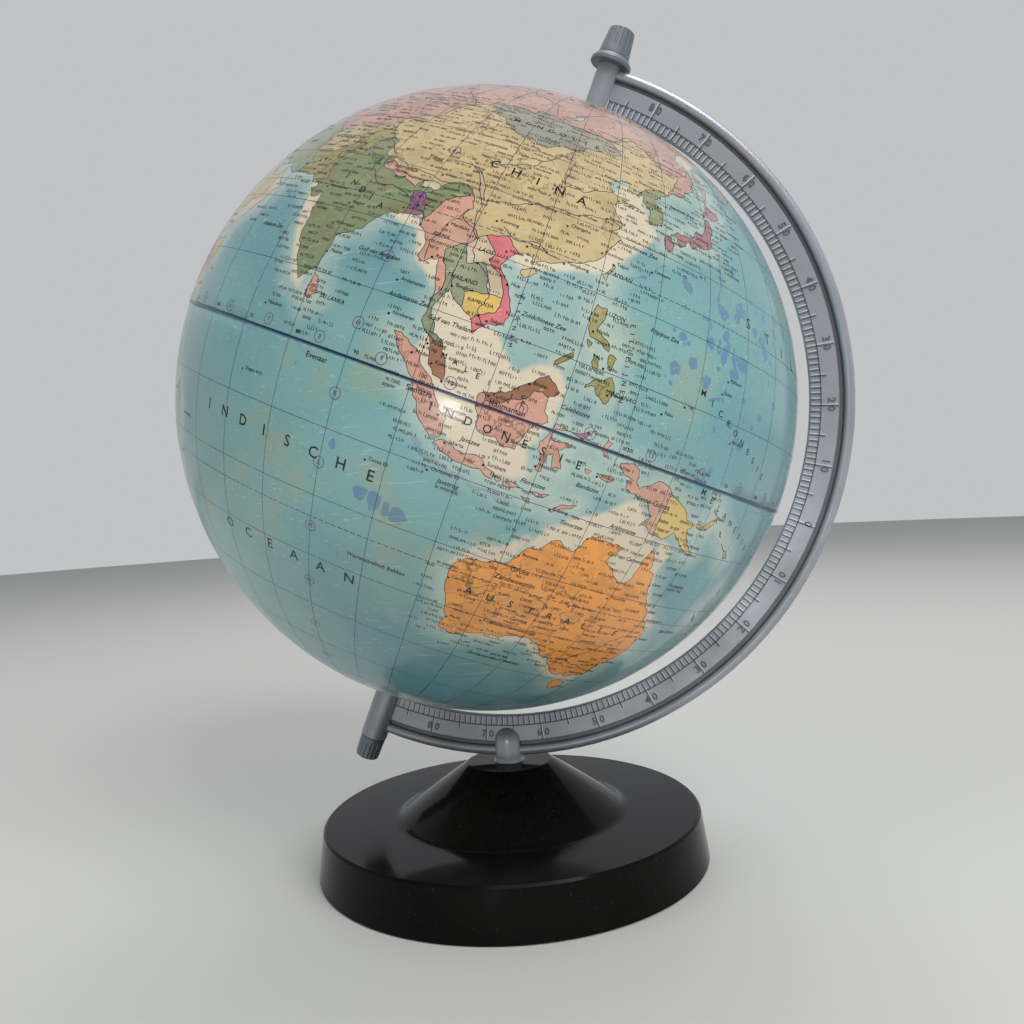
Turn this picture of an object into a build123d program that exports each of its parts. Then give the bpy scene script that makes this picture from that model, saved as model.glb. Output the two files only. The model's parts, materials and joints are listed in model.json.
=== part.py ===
from build123d import *
import math
import os

# Desktop globe on a stand. Millimetres, +Z up.
# The origin is the middle of the underside of the base, on the surface that it stands on.
# The meridian arm lies in the XZ plane, on the +X side of the globe.

# ---- Globe
globe_radius = 130.0            # outside of the northern shell
seam_step = 0.2                 # how far the southern shell stands back from the northern one
shell_wall = 1.8
axis_tilt = 23.5                # degrees between the axle and the vertical, towards +X
pole_hole_radius = 3.9          # hole in each shell at its pole

# ---- Meridian arm
band_gap = 5.4                  # from the globe to the inner edge of the flat scale band
band_width = 11.6               # width of the scale band, along the radius
band_thickness = 3.4
band_edge_bevel = 0.4
groove_width = 1.3              # groove between the band and the rim bead
web_thickness = 1.8             # arm behind the groove
bead_radius = 2.5               # round bead along the rim
north_boss_radius = 5.0
south_boss_radius = 5.9
south_boss_reach = 3.6          # how far the south boss goes on past the rim bead
boss_gap = 1.3                  # from the globe to the end face of a boss

# ---- Foot of the arm
foot_radius = 6.0               # dome-topped barrel under the arm
foot_flare = 0.8                # how much wider the barrel is where it meets the base
foot_flare_height = 1.6
foot_stand_off = 2.0            # from the top of the base cone to the rim bead of the arm
foot_height = 14.8              # from the top of the base cone to the top of the dome
foot_key_flats = 8.0            # hexagonal key under the foot, across its flats
foot_key_depth = 2.0
foot_key_clearance = 0.1

# ---- Axle and what is on it
axle_radius = 2.0
axle_fit = 0.05                 # radial clearance round the axle
axle_end_bevel = 0.4
thrust_washer_radius = 4.6
thrust_washer_thickness = 0.8
running_gap = 0.15              # end play between a bush of the globe and its thrust washer
collar_radius = 8.8
collar_top_radius = 7.3         # narrow end of the collar's bevelled top
collar_height = 3.8
collar_rim_height = 1.7
collar_gap = 0.2                # from the rim bead to the underside of the collar
spring_washer_radius = 5.8
spring_washer_thickness = 0.35
knob_running_gap = 0.1
knob_skirt_radius = 6.8
knob_tip_radius = 5.5
knob_height = 12.0
knob_skirt_height = 3.2         # plain skirt below the flutes
knob_dome_height = 0.9
cap_radius = 5.6
cap_tip_radius = 5.2
cap_height = 10.4
cap_skirt_height = 2.4
cap_dome_height = 0.8
grip_edge_round = 0.8           # rounding between the side and the end of the knob and of the cap
flute_count = 16
flute_radius = 0.75
flute_depth = 0.4
insert_radius = 3.4             # brass inserts in the knob and in the cap
insert_height = 7.0
axle_grip_length = 8.5          # length of axle inside the knob and inside the cap
cap_washer_radius = 5.1
cap_washer_thickness = 0.5

# ---- Inside the globe
bush_flange_radius = 9.0
bush_flange_thickness = 1.8
bush_clearance = 0.1            # round the neck, under the flange and round the spigot
bush_spigot_radius = 6.0
bush_spigot_length = 9.0
core_tube_wall = 1.6
joining_ring_height = 20.0
joining_ring_wall = 1.6
joining_ring_clearance = 0.1

# ---- Base
base_bottom_radius = 85.0
base_draft = 2.8                # how much narrower the disc is at its top edge
base_height = 20.6              # from the ground to the flat top of the disc
base_edge_bevel = 0.9
cone_foot_radius = 50.0
cone_top_radius = 18.6
cone_height = 21.4
cone_foot_fillet = 7.0
cone_top_fillet = 1.2
base_wall = 2.4
cone_top_wall = 5.0             # thicker where the foot of the arm is bolted on
ground_gap = 0.6                # the rim of the shell stands this far off the ground
felt_thickness = 1.2
felt_margin = 9.0               # from the foot of the skirt to the edge of the felt
cover_clearance = 1.4           # between the cover and the skirt of the shell
cover_thickness = 2.4
pillar_inset = 23.0             # from the foot of the skirt to the circle of the cover's pillars
pillar_count = 3
pillar_radius = 4.5
ballast_clearance = 1.0         # between the ballast ring and the pillars
ballast_inner_radius = 24.0
ballast_height = 12.0
ballast_edge_round = 1.5

# ---- Fasteners
cover_screw_radius = 1.5
cover_screw_length = 10.0
cover_screw_head_radius = 3.0
foot_screw_radius = 2.5
foot_screw_head_radius = 4.6
foot_screw_head_height = 3.4
foot_screw_reach = 10.0         # thread above the top of the cone
foot_insert_radius = 3.8
foot_insert_length = 9.0
foot_insert_depth = 0.5         # the insert sits this far up inside the foot
foot_washer_radius = 6.5
foot_washer_thickness = 1.2
lock_washer_radius = 4.4
lock_washer_thickness = 1.2
lock_washer_split = 0.8
slot_width = 1.0                # screwdriver slots
slot_depth = 0.8
hole_clearance = 0.2            # radial clearance of a plain hole round a screw
felt_hole_clearance = 1.2       # the felt is open round each cover screw

# ---- Places that follow from the sizes above
base_top_radius = base_bottom_radius - base_draft
felt_radius = base_bottom_radius - felt_margin
pillar_circle_radius = base_bottom_radius - pillar_inset
cone_top_z = base_height + cone_height
shell_inner_radius = globe_radius - seam_step - shell_wall
band_inner_radius = globe_radius + band_gap
band_outer_radius = band_inner_radius + band_width
bead_centre_radius = band_outer_radius + groove_width + bead_radius
arm_outer_radius = bead_centre_radius + bead_radius
globe_centre_z = cone_top_z + foot_stand_off + arm_outer_radius
foot_dome_z = cone_top_z + foot_height - foot_radius
boss_start = globe_radius + boss_gap
south_boss_end = arm_outer_radius + south_boss_reach
collar_start = arm_outer_radius + collar_gap
collar_end = collar_start + collar_height
knob_start = collar_end + spring_washer_thickness + knob_running_gap
cap_start = south_boss_end + cap_washer_thickness
bore_radius = axle_radius + axle_fit
bush_flange_end = math.sqrt(shell_inner_radius ** 2 - bush_flange_radius ** 2) - bush_clearance
bush_flange_start = bush_flange_end - bush_flange_thickness
washer_start = boss_start - thrust_washer_thickness
bush_end = washer_start - running_gap
cover_top_z = felt_thickness + cover_thickness
cone_underside_z = cone_top_z - cone_top_wall
lock_washer_z = cone_underside_z - foot_washer_thickness - lock_washer_thickness

# ---- The globe's own frame: +Z through the north pole, +X towards the arm
tilt = math.radians(axis_tilt)
outwards = Vector(math.cos(tilt), 0, -math.sin(tilt))
northwards = Vector(math.sin(tilt), 0, math.cos(tilt))
centre = Vector(0, 0, globe_centre_z)
globe_frame = Plane(origin=centre, x_dir=outwards, z_dir=northwards)
axle_axis = Axis(centre, northwards)
arm_axis = Axis(centre, (0, 1, 0))
# Half sections through the axle: sketch x is the distance from the axle, sketch y the distance
# from the middle of the globe towards that pole.
north_section = Plane(origin=centre, x_dir=outwards, z_dir=(0, -1, 0))
south_section = Plane(origin=centre, x_dir=outwards, z_dir=(0, 1, 0))
# Section across the arm at the north pole: sketch x is the distance from the middle of the globe.
arm_section = Plane(origin=centre, x_dir=northwards, z_dir=-outwards)

os.makedirs("parts", exist_ok=True)


def finish(piece, name):
    """Label a finished piece and write it to its file."""
    piece.part.label = name
    export_step(piece.part, f"parts/{name}.step")


def turn_profile(section, axis, points, mode=Mode.ADD):
    """Turn a closed outline of straight lines about an axis."""
    with BuildSketch(section) as profile:
        with BuildLine():
            Polyline(*points, close=True)
        make_face()
    revolve(profile.sketch, axis=axis, mode=mode)


def turn_ring(section, inner, outer, start, end):
    """Turn a plain washer, tube or boss about the axle, between two distances along it."""
    points = [(inner, start), (outer, start), (outer, end), (inner, end)]
    turn_profile(section, axle_axis, points)


def turn_grip(section, start, skirt_radius, tip_radius, height, dome_height):
    """Turn the outside of a knob: tapered side, rounded edge and a slightly domed end."""
    shoulder = start + height - dome_height
    dome_radius = (tip_radius ** 2 + dome_height ** 2) / (2 * dome_height)
    with BuildSketch(section) as profile:
        with BuildLine():
            Polyline((0, start + height), (0, start), (skirt_radius, start), (tip_radius, shoulder))
            RadiusArc((tip_radius, shoulder), (0, start + height), -dome_radius)
        make_face()
        edge = [corner for corner in profile.vertices() if corner.X > 1 and corner.Y > start + 1]
        fillet(edge, radius=grip_edge_round)
    revolve(profile.sketch, axis=axle_axis)


def cut_flutes(direction, start, skirt_radius, tip_radius, height, skirt_height):
    """Cut a ring of round flutes that follow the taper of a knob, from above its skirt to its end."""
    lean = math.degrees(math.atan2(skirt_radius - tip_radius, height))
    middle = start + (skirt_height + height) / 2 + grip_edge_round
    middle_radius = skirt_radius - (skirt_radius - tip_radius) * (middle - start) / height
    end_frame = Plane(origin=centre, x_dir=outwards, z_dir=direction).offset(middle)
    with Locations(end_frame):
        with PolarLocations(middle_radius + flute_radius - flute_depth, flute_count):
            Cylinder(
                flute_radius,
                height - skirt_height + 2 * grip_edge_round,
                rotation=(0, -lean, 0),
                mode=Mode.SUBTRACT,
            )


def drill_blind(section, radius, start, depth):
    """Cut a round blind hole into an end face, along the axle."""
    points = [(0, start), (radius, start), (radius, start + depth), (0, start + depth)]
    turn_profile(section, axle_axis, points, mode=Mode.SUBTRACT)


def half_shell(section, outer_radius):
    """Turn half of the globe's shell, open at its pole."""
    with BuildSketch(section) as profile:
        Circle(outer_radius)
        Circle(shell_inner_radius, mode=Mode.SUBTRACT)
        with Locations((pole_hole_radius, 0)):
            Rectangle(
                globe_radius,
                globe_radius,
                align=(Align.MIN, Align.MIN),
                mode=Mode.INTERSECT,
            )
    revolve(profile.sketch, axis=axle_axis)


def pole_bush(section):
    """Turn a bush: neck through the shell, flange inside it, spigot for the core tube."""
    neck_radius = pole_hole_radius - bush_clearance
    points = [
        (bore_radius, bush_flange_start - bush_spigot_length),
        (bush_spigot_radius, bush_flange_start - bush_spigot_length),
        (bush_spigot_radius, bush_flange_start),
        (bush_flange_radius, bush_flange_start),
        (bush_flange_radius, bush_flange_end),
        (neck_radius, bush_flange_end),
        (neck_radius, bush_end),
        (bore_radius, bush_end),
    ]
    turn_profile(section, axle_axis, points)


# ==== Base =====================================================================================

# One moulding: a flat disc with a skirt and a cone, thick where the foot of the arm stands on it.
with BuildPart() as base_shell:
    with BuildSketch(Plane.XZ):
        with BuildLine():
            Polyline(
                (0, cone_top_z),
                (cone_top_radius, cone_top_z),
                (cone_foot_radius, base_height),
                (base_top_radius, base_height),
                (base_bottom_radius, ground_gap),
                (base_bottom_radius - base_wall, ground_gap),
                (base_top_radius - base_wall, base_height - base_wall),
                (cone_foot_radius - base_wall / 2, base_height - base_wall),
                (cone_top_radius - base_wall / 2, cone_underside_z),
                (0, cone_underside_z),
                close=True,
            )
        make_face()
        fillet(
            [v for v in vertices() if abs(v.X - cone_foot_radius) < base_wall],
            radius=cone_foot_fillet,
        )
        fillet(
            [v for v in vertices() if abs(v.X - cone_top_radius) < 0.01 and v.Y > cone_underside_z],
            radius=cone_top_fillet,
        )
        chamfer([v for v in vertices() if abs(v.X - base_top_radius) < 0.01], length=base_edge_bevel)
    revolve(axis=Axis.Z)
    # Pillars that the cover is screwed to, each with a hole for its screw.
    with BuildSketch(Plane.XY.offset(cover_top_z)):
        with PolarLocations(pillar_circle_radius, pillar_count, start_angle=90):
            Circle(pillar_radius)
    extrude(amount=base_height - base_wall / 2 - cover_top_z)
    with BuildSketch(Plane.XY.offset(cover_top_z)):
        with PolarLocations(pillar_circle_radius, pillar_count, start_angle=90):
            Circle(cover_screw_radius)
    extrude(amount=cover_screw_length - cover_thickness + hole_clearance, mode=Mode.SUBTRACT)
    # Recess for the key of the foot, and the hole for the foot screw.
    with BuildSketch(Plane.XY.offset(cone_top_z)):
        RegularPolygon(foot_key_flats / 2 + foot_key_clearance, 6, major_radius=False)
    extrude(amount=-foot_key_depth - foot_key_clearance, mode=Mode.SUBTRACT)
    with BuildSketch(Plane.XY.offset(cone_top_z)):
        Circle(foot_screw_radius + hole_clearance)
    extrude(amount=-cone_top_wall, mode=Mode.SUBTRACT)
finish(base_shell, "base_shell")

# Round board that closes the base, countersunk from below at each pillar.
with BuildPart() as base_cover:
    with BuildSketch(Plane.XY.offset(felt_thickness)):
        Circle(base_bottom_radius - base_wall - cover_clearance)
    extrude(amount=cover_thickness)
    with Locations(Plane(origin=(0, 0, felt_thickness), x_dir=(1, 0, 0), z_dir=(0, 0, -1))):
        with PolarLocations(pillar_circle_radius, pillar_count, start_angle=-90):
            CounterSinkHole(
                radius=cover_screw_radius + hole_clearance,
                counter_sink_radius=cover_screw_head_radius + hole_clearance,
                depth=cover_thickness,
                counter_sink_angle=90,
            )
finish(base_cover, "base_cover")

# Felt disc that the globe stands on, open at each screw.
with BuildPart() as felt_pad:
    with BuildSketch():
        Circle(felt_radius)
        with PolarLocations(pillar_circle_radius, pillar_count, start_angle=90):
            Circle(cover_screw_head_radius + felt_hole_clearance, mode=Mode.SUBTRACT)
    extrude(amount=felt_thickness)
finish(felt_pad, "felt_pad")

# Slotted countersunk screws, heads flush with the underside of the cover.
with BuildPart() as cover_screws:
    upright = (Align.CENTER, Align.CENTER, Align.MIN)
    with Locations(Plane.XY.offset(felt_thickness)):
        with PolarLocations(pillar_circle_radius, pillar_count, start_angle=90):
            Cylinder(cover_screw_radius, cover_screw_length, align=upright)
            Cone(
                cover_screw_head_radius,
                cover_screw_radius,
                cover_screw_head_radius - cover_screw_radius,
                align=upright,
            )
            Box(2 * cover_screw_head_radius, slot_width, slot_depth, align=upright, mode=Mode.SUBTRACT)
finish(cover_screws, "cover_screws")

# Iron ring that lies on the cover, inside the pillars.
with BuildPart() as ballast_ring:
    with BuildSketch(Plane.XY.offset(cover_top_z)):
        Circle(pillar_circle_radius - pillar_radius - ballast_clearance)
        Circle(ballast_inner_radius, mode=Mode.SUBTRACT)
    extrude(amount=ballast_height)
    fillet(ballast_ring.edges().group_by(Axis.Z)[-1], radius=ballast_edge_round)
finish(ballast_ring, "ballast_ring")

# ==== Fastening of the arm =====================================================================

# Pan-head screw that comes up through the cone into the foot.
with BuildPart() as foot_screw:
    with BuildSketch(Plane.XY.offset(lock_washer_z)):
        Circle(foot_screw_radius)
    extrude(amount=cone_top_z + foot_screw_reach - lock_washer_z)
    chamfer(foot_screw.edges().group_by(Axis.Z)[-1], length=axle_end_bevel)
    with BuildSketch(Plane.XY.offset(lock_washer_z)):
        Circle(foot_screw_head_radius)
    extrude(amount=-foot_screw_head_height)
    fillet(foot_screw.edges().group_by(Axis.Z)[0], radius=foot_screw_head_height / 3)
    with BuildSketch(Plane.XY.offset(lock_washer_z - foot_screw_head_height)):
        Rectangle(2 * foot_screw_head_radius, slot_width)
    extrude(amount=slot_depth * 2, mode=Mode.SUBTRACT)
finish(foot_screw, "foot_screw")

with BuildPart() as foot_washer:
    with BuildSketch(Plane.XY.offset(cone_underside_z)):
        Circle(foot_washer_radius)
        Circle(foot_screw_radius + hole_clearance, mode=Mode.SUBTRACT)
    extrude(amount=-foot_washer_thickness)
finish(foot_washer, "foot_washer")

# Split spring washer, drawn pressed flat.
with BuildPart() as foot_lock_washer:
    with BuildSketch(Plane.XY.offset(lock_washer_z)):
        Circle(lock_washer_radius)
        Circle(foot_screw_radius + hole_clearance, mode=Mode.SUBTRACT)
        with Locations((lock_washer_radius, 0)):
            Rectangle(2 * lock_washer_radius, lock_washer_split, mode=Mode.SUBTRACT)
    extrude(amount=lock_washer_thickness)
finish(foot_lock_washer, "foot_lock_washer")

# Knurled brass insert, moulded into the foot.
with BuildPart() as foot_insert:
    with BuildSketch(Plane.XY.offset(cone_top_z + foot_insert_depth)):
        Circle(foot_insert_radius)
        Circle(foot_screw_radius, mode=Mode.SUBTRACT)
    extrude(amount=foot_insert_length)
finish(foot_insert, "foot_insert")

# ==== Meridian arm =============================================================================

# One moulding: half a ring with a flat band and a rim bead, a boss at each end, and the foot.
with BuildPart() as meridian_arm:
    with BuildSketch(arm_section):
        with Locations((band_inner_radius + band_width / 2, 0)):
            band = Rectangle(band_width, band_thickness)
        chamfer(band.vertices(), length=band_edge_bevel)
        with Locations(((band_inner_radius + bead_centre_radius) / 2, 0)):
            Rectangle(bead_centre_radius - band_inner_radius - 2 * band_edge_bevel, web_thickness)
        with Locations((bead_centre_radius, 0)):
            Circle(bead_radius)
    revolve(axis=arm_axis, revolution_arc=180)
    turn_ring(north_section, 0, north_boss_radius, boss_start, collar_start)
    turn_ring(south_section, 0, south_boss_radius, boss_start, south_boss_end)
    # Dome-topped foot, straight below the middle of the globe, with a flared lower edge.
    with BuildSketch(Plane.XZ):
        with BuildLine():
            Polyline(
                (0, foot_dome_z + foot_radius),
                (0, cone_top_z),
                (foot_radius + foot_flare, cone_top_z),
                (foot_radius, cone_top_z + foot_flare_height),
                (foot_radius, foot_dome_z),
            )
            RadiusArc((foot_radius, foot_dome_z), (0, foot_dome_z + foot_radius), -foot_radius)
        make_face()
    revolve(axis=Axis.Z)
    with BuildSketch(Plane.XY.offset(cone_top_z)):
        RegularPolygon(foot_key_flats / 2, 6, major_radius=False)
    extrude(amount=-foot_key_depth)
    # Seat of the brass insert, and the screw's hole above and below it.
    with BuildSketch(Plane.XY.offset(cone_top_z + foot_insert_depth)):
        Circle(foot_insert_radius)
    extrude(amount=foot_insert_length, mode=Mode.SUBTRACT)
    with BuildSketch(Plane.XY.offset(cone_top_z - foot_key_depth)):
        Circle(foot_screw_radius + hole_clearance)
    extrude(amount=foot_key_depth + foot_screw_reach + hole_clearance, mode=Mode.SUBTRACT)
    # Bore for the axle through both bosses.
    for section, end in ((north_section, collar_start), (south_section, south_boss_end)):
        drill_blind(section, bore_radius, boss_start, end - boss_start)
finish(meridian_arm, "meridian_arm")

# ==== Axle =====================================================================================

# Steel rod from the cap at the south end to the knob at the north end.
with BuildPart() as axle_rod:
    rod_south = -(cap_start + axle_grip_length)
    rod_north = knob_start + axle_grip_length
    with BuildSketch(globe_frame.offset(rod_south)):
        Circle(axle_radius)
    extrude(amount=rod_north - rod_south)
    chamfer(axle_rod.edges().filter_by(GeomType.CIRCLE), length=axle_end_bevel)
finish(axle_rod, "axle_rod")

with BuildPart() as south_cap:
    turn_grip(south_section, cap_start, cap_radius, cap_tip_radius, cap_height, cap_dome_height)
    cut_flutes(-northwards, cap_start, cap_radius, cap_tip_radius, cap_height, cap_skirt_height)
    drill_blind(south_section, insert_radius, cap_start, insert_height)
    drill_blind(south_section, bore_radius, cap_start, axle_grip_length + hole_clearance)
finish(south_cap, "south_cap")

with BuildPart() as south_cap_insert:
    turn_ring(south_section, bore_radius, insert_radius, cap_start, cap_start + insert_height)
finish(south_cap_insert, "south_cap_insert")

with BuildPart() as south_cap_washer:
    turn_ring(south_section, bore_radius, cap_washer_radius, south_boss_end, cap_start)
finish(south_cap_washer, "south_cap_washer")

# Flanged collar on the north boss: a straight rim with a bevelled top.
with BuildPart() as north_collar:
    turn_profile(
        north_section,
        axle_axis,
        [
            (bore_radius, collar_start),
            (collar_radius - band_edge_bevel, collar_start),
            (collar_radius, collar_start + band_edge_bevel),
            (collar_radius, collar_start + collar_rim_height),
            (collar_top_radius, collar_end),
            (bore_radius, collar_end),
        ],
    )
finish(north_collar, "north_collar")

with BuildPart() as north_spring_washer:
    turn_ring(
        north_section,
        bore_radius,
        spring_washer_radius,
        collar_end,
        collar_end + spring_washer_thickness,
    )
finish(north_spring_washer, "north_spring_washer")

with BuildPart() as north_knob:
    turn_grip(north_section, knob_start, knob_skirt_radius, knob_tip_radius, knob_height, knob_dome_height)
    cut_flutes(northwards, knob_start, knob_skirt_radius, knob_tip_radius, knob_height, knob_skirt_height)
    drill_blind(north_section, insert_radius, knob_start, insert_height)
    drill_blind(north_section, bore_radius, knob_start, axle_grip_length + hole_clearance)
finish(north_knob, "north_knob")

with BuildPart() as north_knob_insert:
    turn_ring(north_section, bore_radius, insert_radius, knob_start, knob_start + insert_height)
finish(north_knob_insert, "north_knob_insert")

# Thrust washers between the bosses and the bushes of the globe.
with BuildPart() as north_thrust_washer:
    turn_ring(north_section, bore_radius, thrust_washer_radius, washer_start, boss_start)
finish(north_thrust_washer, "north_thrust_washer")

with BuildPart() as south_thrust_washer:
    turn_ring(south_section, bore_radius, thrust_washer_radius, washer_start, boss_start)
finish(south_thrust_washer, "south_thrust_washer")

# ==== Globe ====================================================================================

with BuildPart() as north_hemisphere:
    half_shell(north_section, globe_radius)
finish(north_hemisphere, "north_hemisphere")

with BuildPart() as south_hemisphere:
    half_shell(south_section, globe_radius - seam_step)
finish(south_hemisphere, "south_hemisphere")

# Band inside the seam that holds the two shells together.
with BuildPart() as joining_ring:
    with BuildSketch(north_section):
        Circle(shell_inner_radius - joining_ring_clearance)
        Circle(shell_inner_radius - joining_ring_clearance - joining_ring_wall, mode=Mode.SUBTRACT)
        Rectangle(
            globe_radius,
            joining_ring_height,
            align=(Align.MIN, Align.CENTER),
            mode=Mode.INTERSECT,
        )
    revolve(axis=axle_axis)
finish(joining_ring, "joining_ring")

with BuildPart() as north_pole_bush:
    pole_bush(north_section)
finish(north_pole_bush, "north_pole_bush")

with BuildPart() as south_pole_bush:
    pole_bush(south_section)
finish(south_pole_bush, "south_pole_bush")

# Card tube over the spigots of the two bushes, so that the shells aren't squeezed.
with BuildPart() as core_tube:
    tube_inner_radius = bush_spigot_radius + bush_clearance
    turn_ring(
        north_section,
        tube_inner_radius,
        tube_inner_radius + core_tube_wall,
        -bush_flange_start,
        bush_flange_start,
    )
finish(core_tube, "core_tube")
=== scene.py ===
import json
import math
import random

import bmesh
import bpy
import numpy as np
from mathutils import Matrix, Vector
from mathutils.geometry import delaunay_2d_cdt
from mathutils.kdtree import KDTree

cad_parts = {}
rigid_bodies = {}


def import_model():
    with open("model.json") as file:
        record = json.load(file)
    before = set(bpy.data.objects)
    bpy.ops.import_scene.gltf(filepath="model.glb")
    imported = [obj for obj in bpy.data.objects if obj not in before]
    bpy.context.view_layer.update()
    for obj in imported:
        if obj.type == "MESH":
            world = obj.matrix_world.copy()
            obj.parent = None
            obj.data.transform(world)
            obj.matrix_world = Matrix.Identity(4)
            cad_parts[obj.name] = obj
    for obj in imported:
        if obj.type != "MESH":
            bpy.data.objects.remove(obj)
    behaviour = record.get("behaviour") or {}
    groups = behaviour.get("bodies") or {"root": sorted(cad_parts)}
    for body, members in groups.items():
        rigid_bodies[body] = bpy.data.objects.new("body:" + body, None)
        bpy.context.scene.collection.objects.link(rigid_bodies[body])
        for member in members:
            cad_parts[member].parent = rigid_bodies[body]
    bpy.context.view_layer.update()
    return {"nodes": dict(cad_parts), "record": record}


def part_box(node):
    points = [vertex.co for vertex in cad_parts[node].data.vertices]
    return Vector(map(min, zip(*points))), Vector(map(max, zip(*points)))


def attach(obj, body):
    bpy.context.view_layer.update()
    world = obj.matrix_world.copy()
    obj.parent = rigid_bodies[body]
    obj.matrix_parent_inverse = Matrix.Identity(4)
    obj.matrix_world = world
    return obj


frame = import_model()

MM = 0.001

# ==== Places, read from the frame ===============================================================

spin_joint = next(j for j in frame["record"]["behaviour"]["joints"] if j["name"] == "globe_spin")
CENTRE = Vector(spin_joint["pos_m"])
NORTH = Vector(spin_joint["axis"]).normalized()
ACROSS = Vector((0, 1, 0))
OUTWARDS = ACROSS.cross(NORTH)          # from the axle towards the meridian arm
GLOBE_RADIUS = round(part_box("north_hemisphere")[1][1], 3)
SEAM_STEP = 0.2 * MM                    # the southern shell stands back by this much
FACING_LONGITUDE = 97.3                 # longitude turned towards -Y
PAPER = 0.10 * MM                       # thickness of the printed skin
INK_LIFT = 0.03 * MM                    # line work lies this far above the paper


def on_globe(lon, lat, lift=0.0):
    """The place of a longitude and latitude on the printed globe, raised by a small lift."""
    turn = math.radians(lon - FACING_LONGITUDE - 90)
    up = math.radians(lat)
    direction = NORTH * math.sin(up)
    direction += (OUTWARDS * math.cos(turn) + ACROSS * math.sin(turn)) * math.cos(up)
    radius = GLOBE_RADIUS + PAPER + lift
    if lat < 0:
        radius -= SEAM_STEP
    return CENTRE + direction * radius


# ==== The map ===================================================================================
# Longitude and latitude pairs in degrees, drawn as simple outlines. Longitudes run on past
# 180 so that the map's cut lies in the Bering Strait.

WEST_CUT = -169.5
EAST_CUT = 190.5

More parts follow.
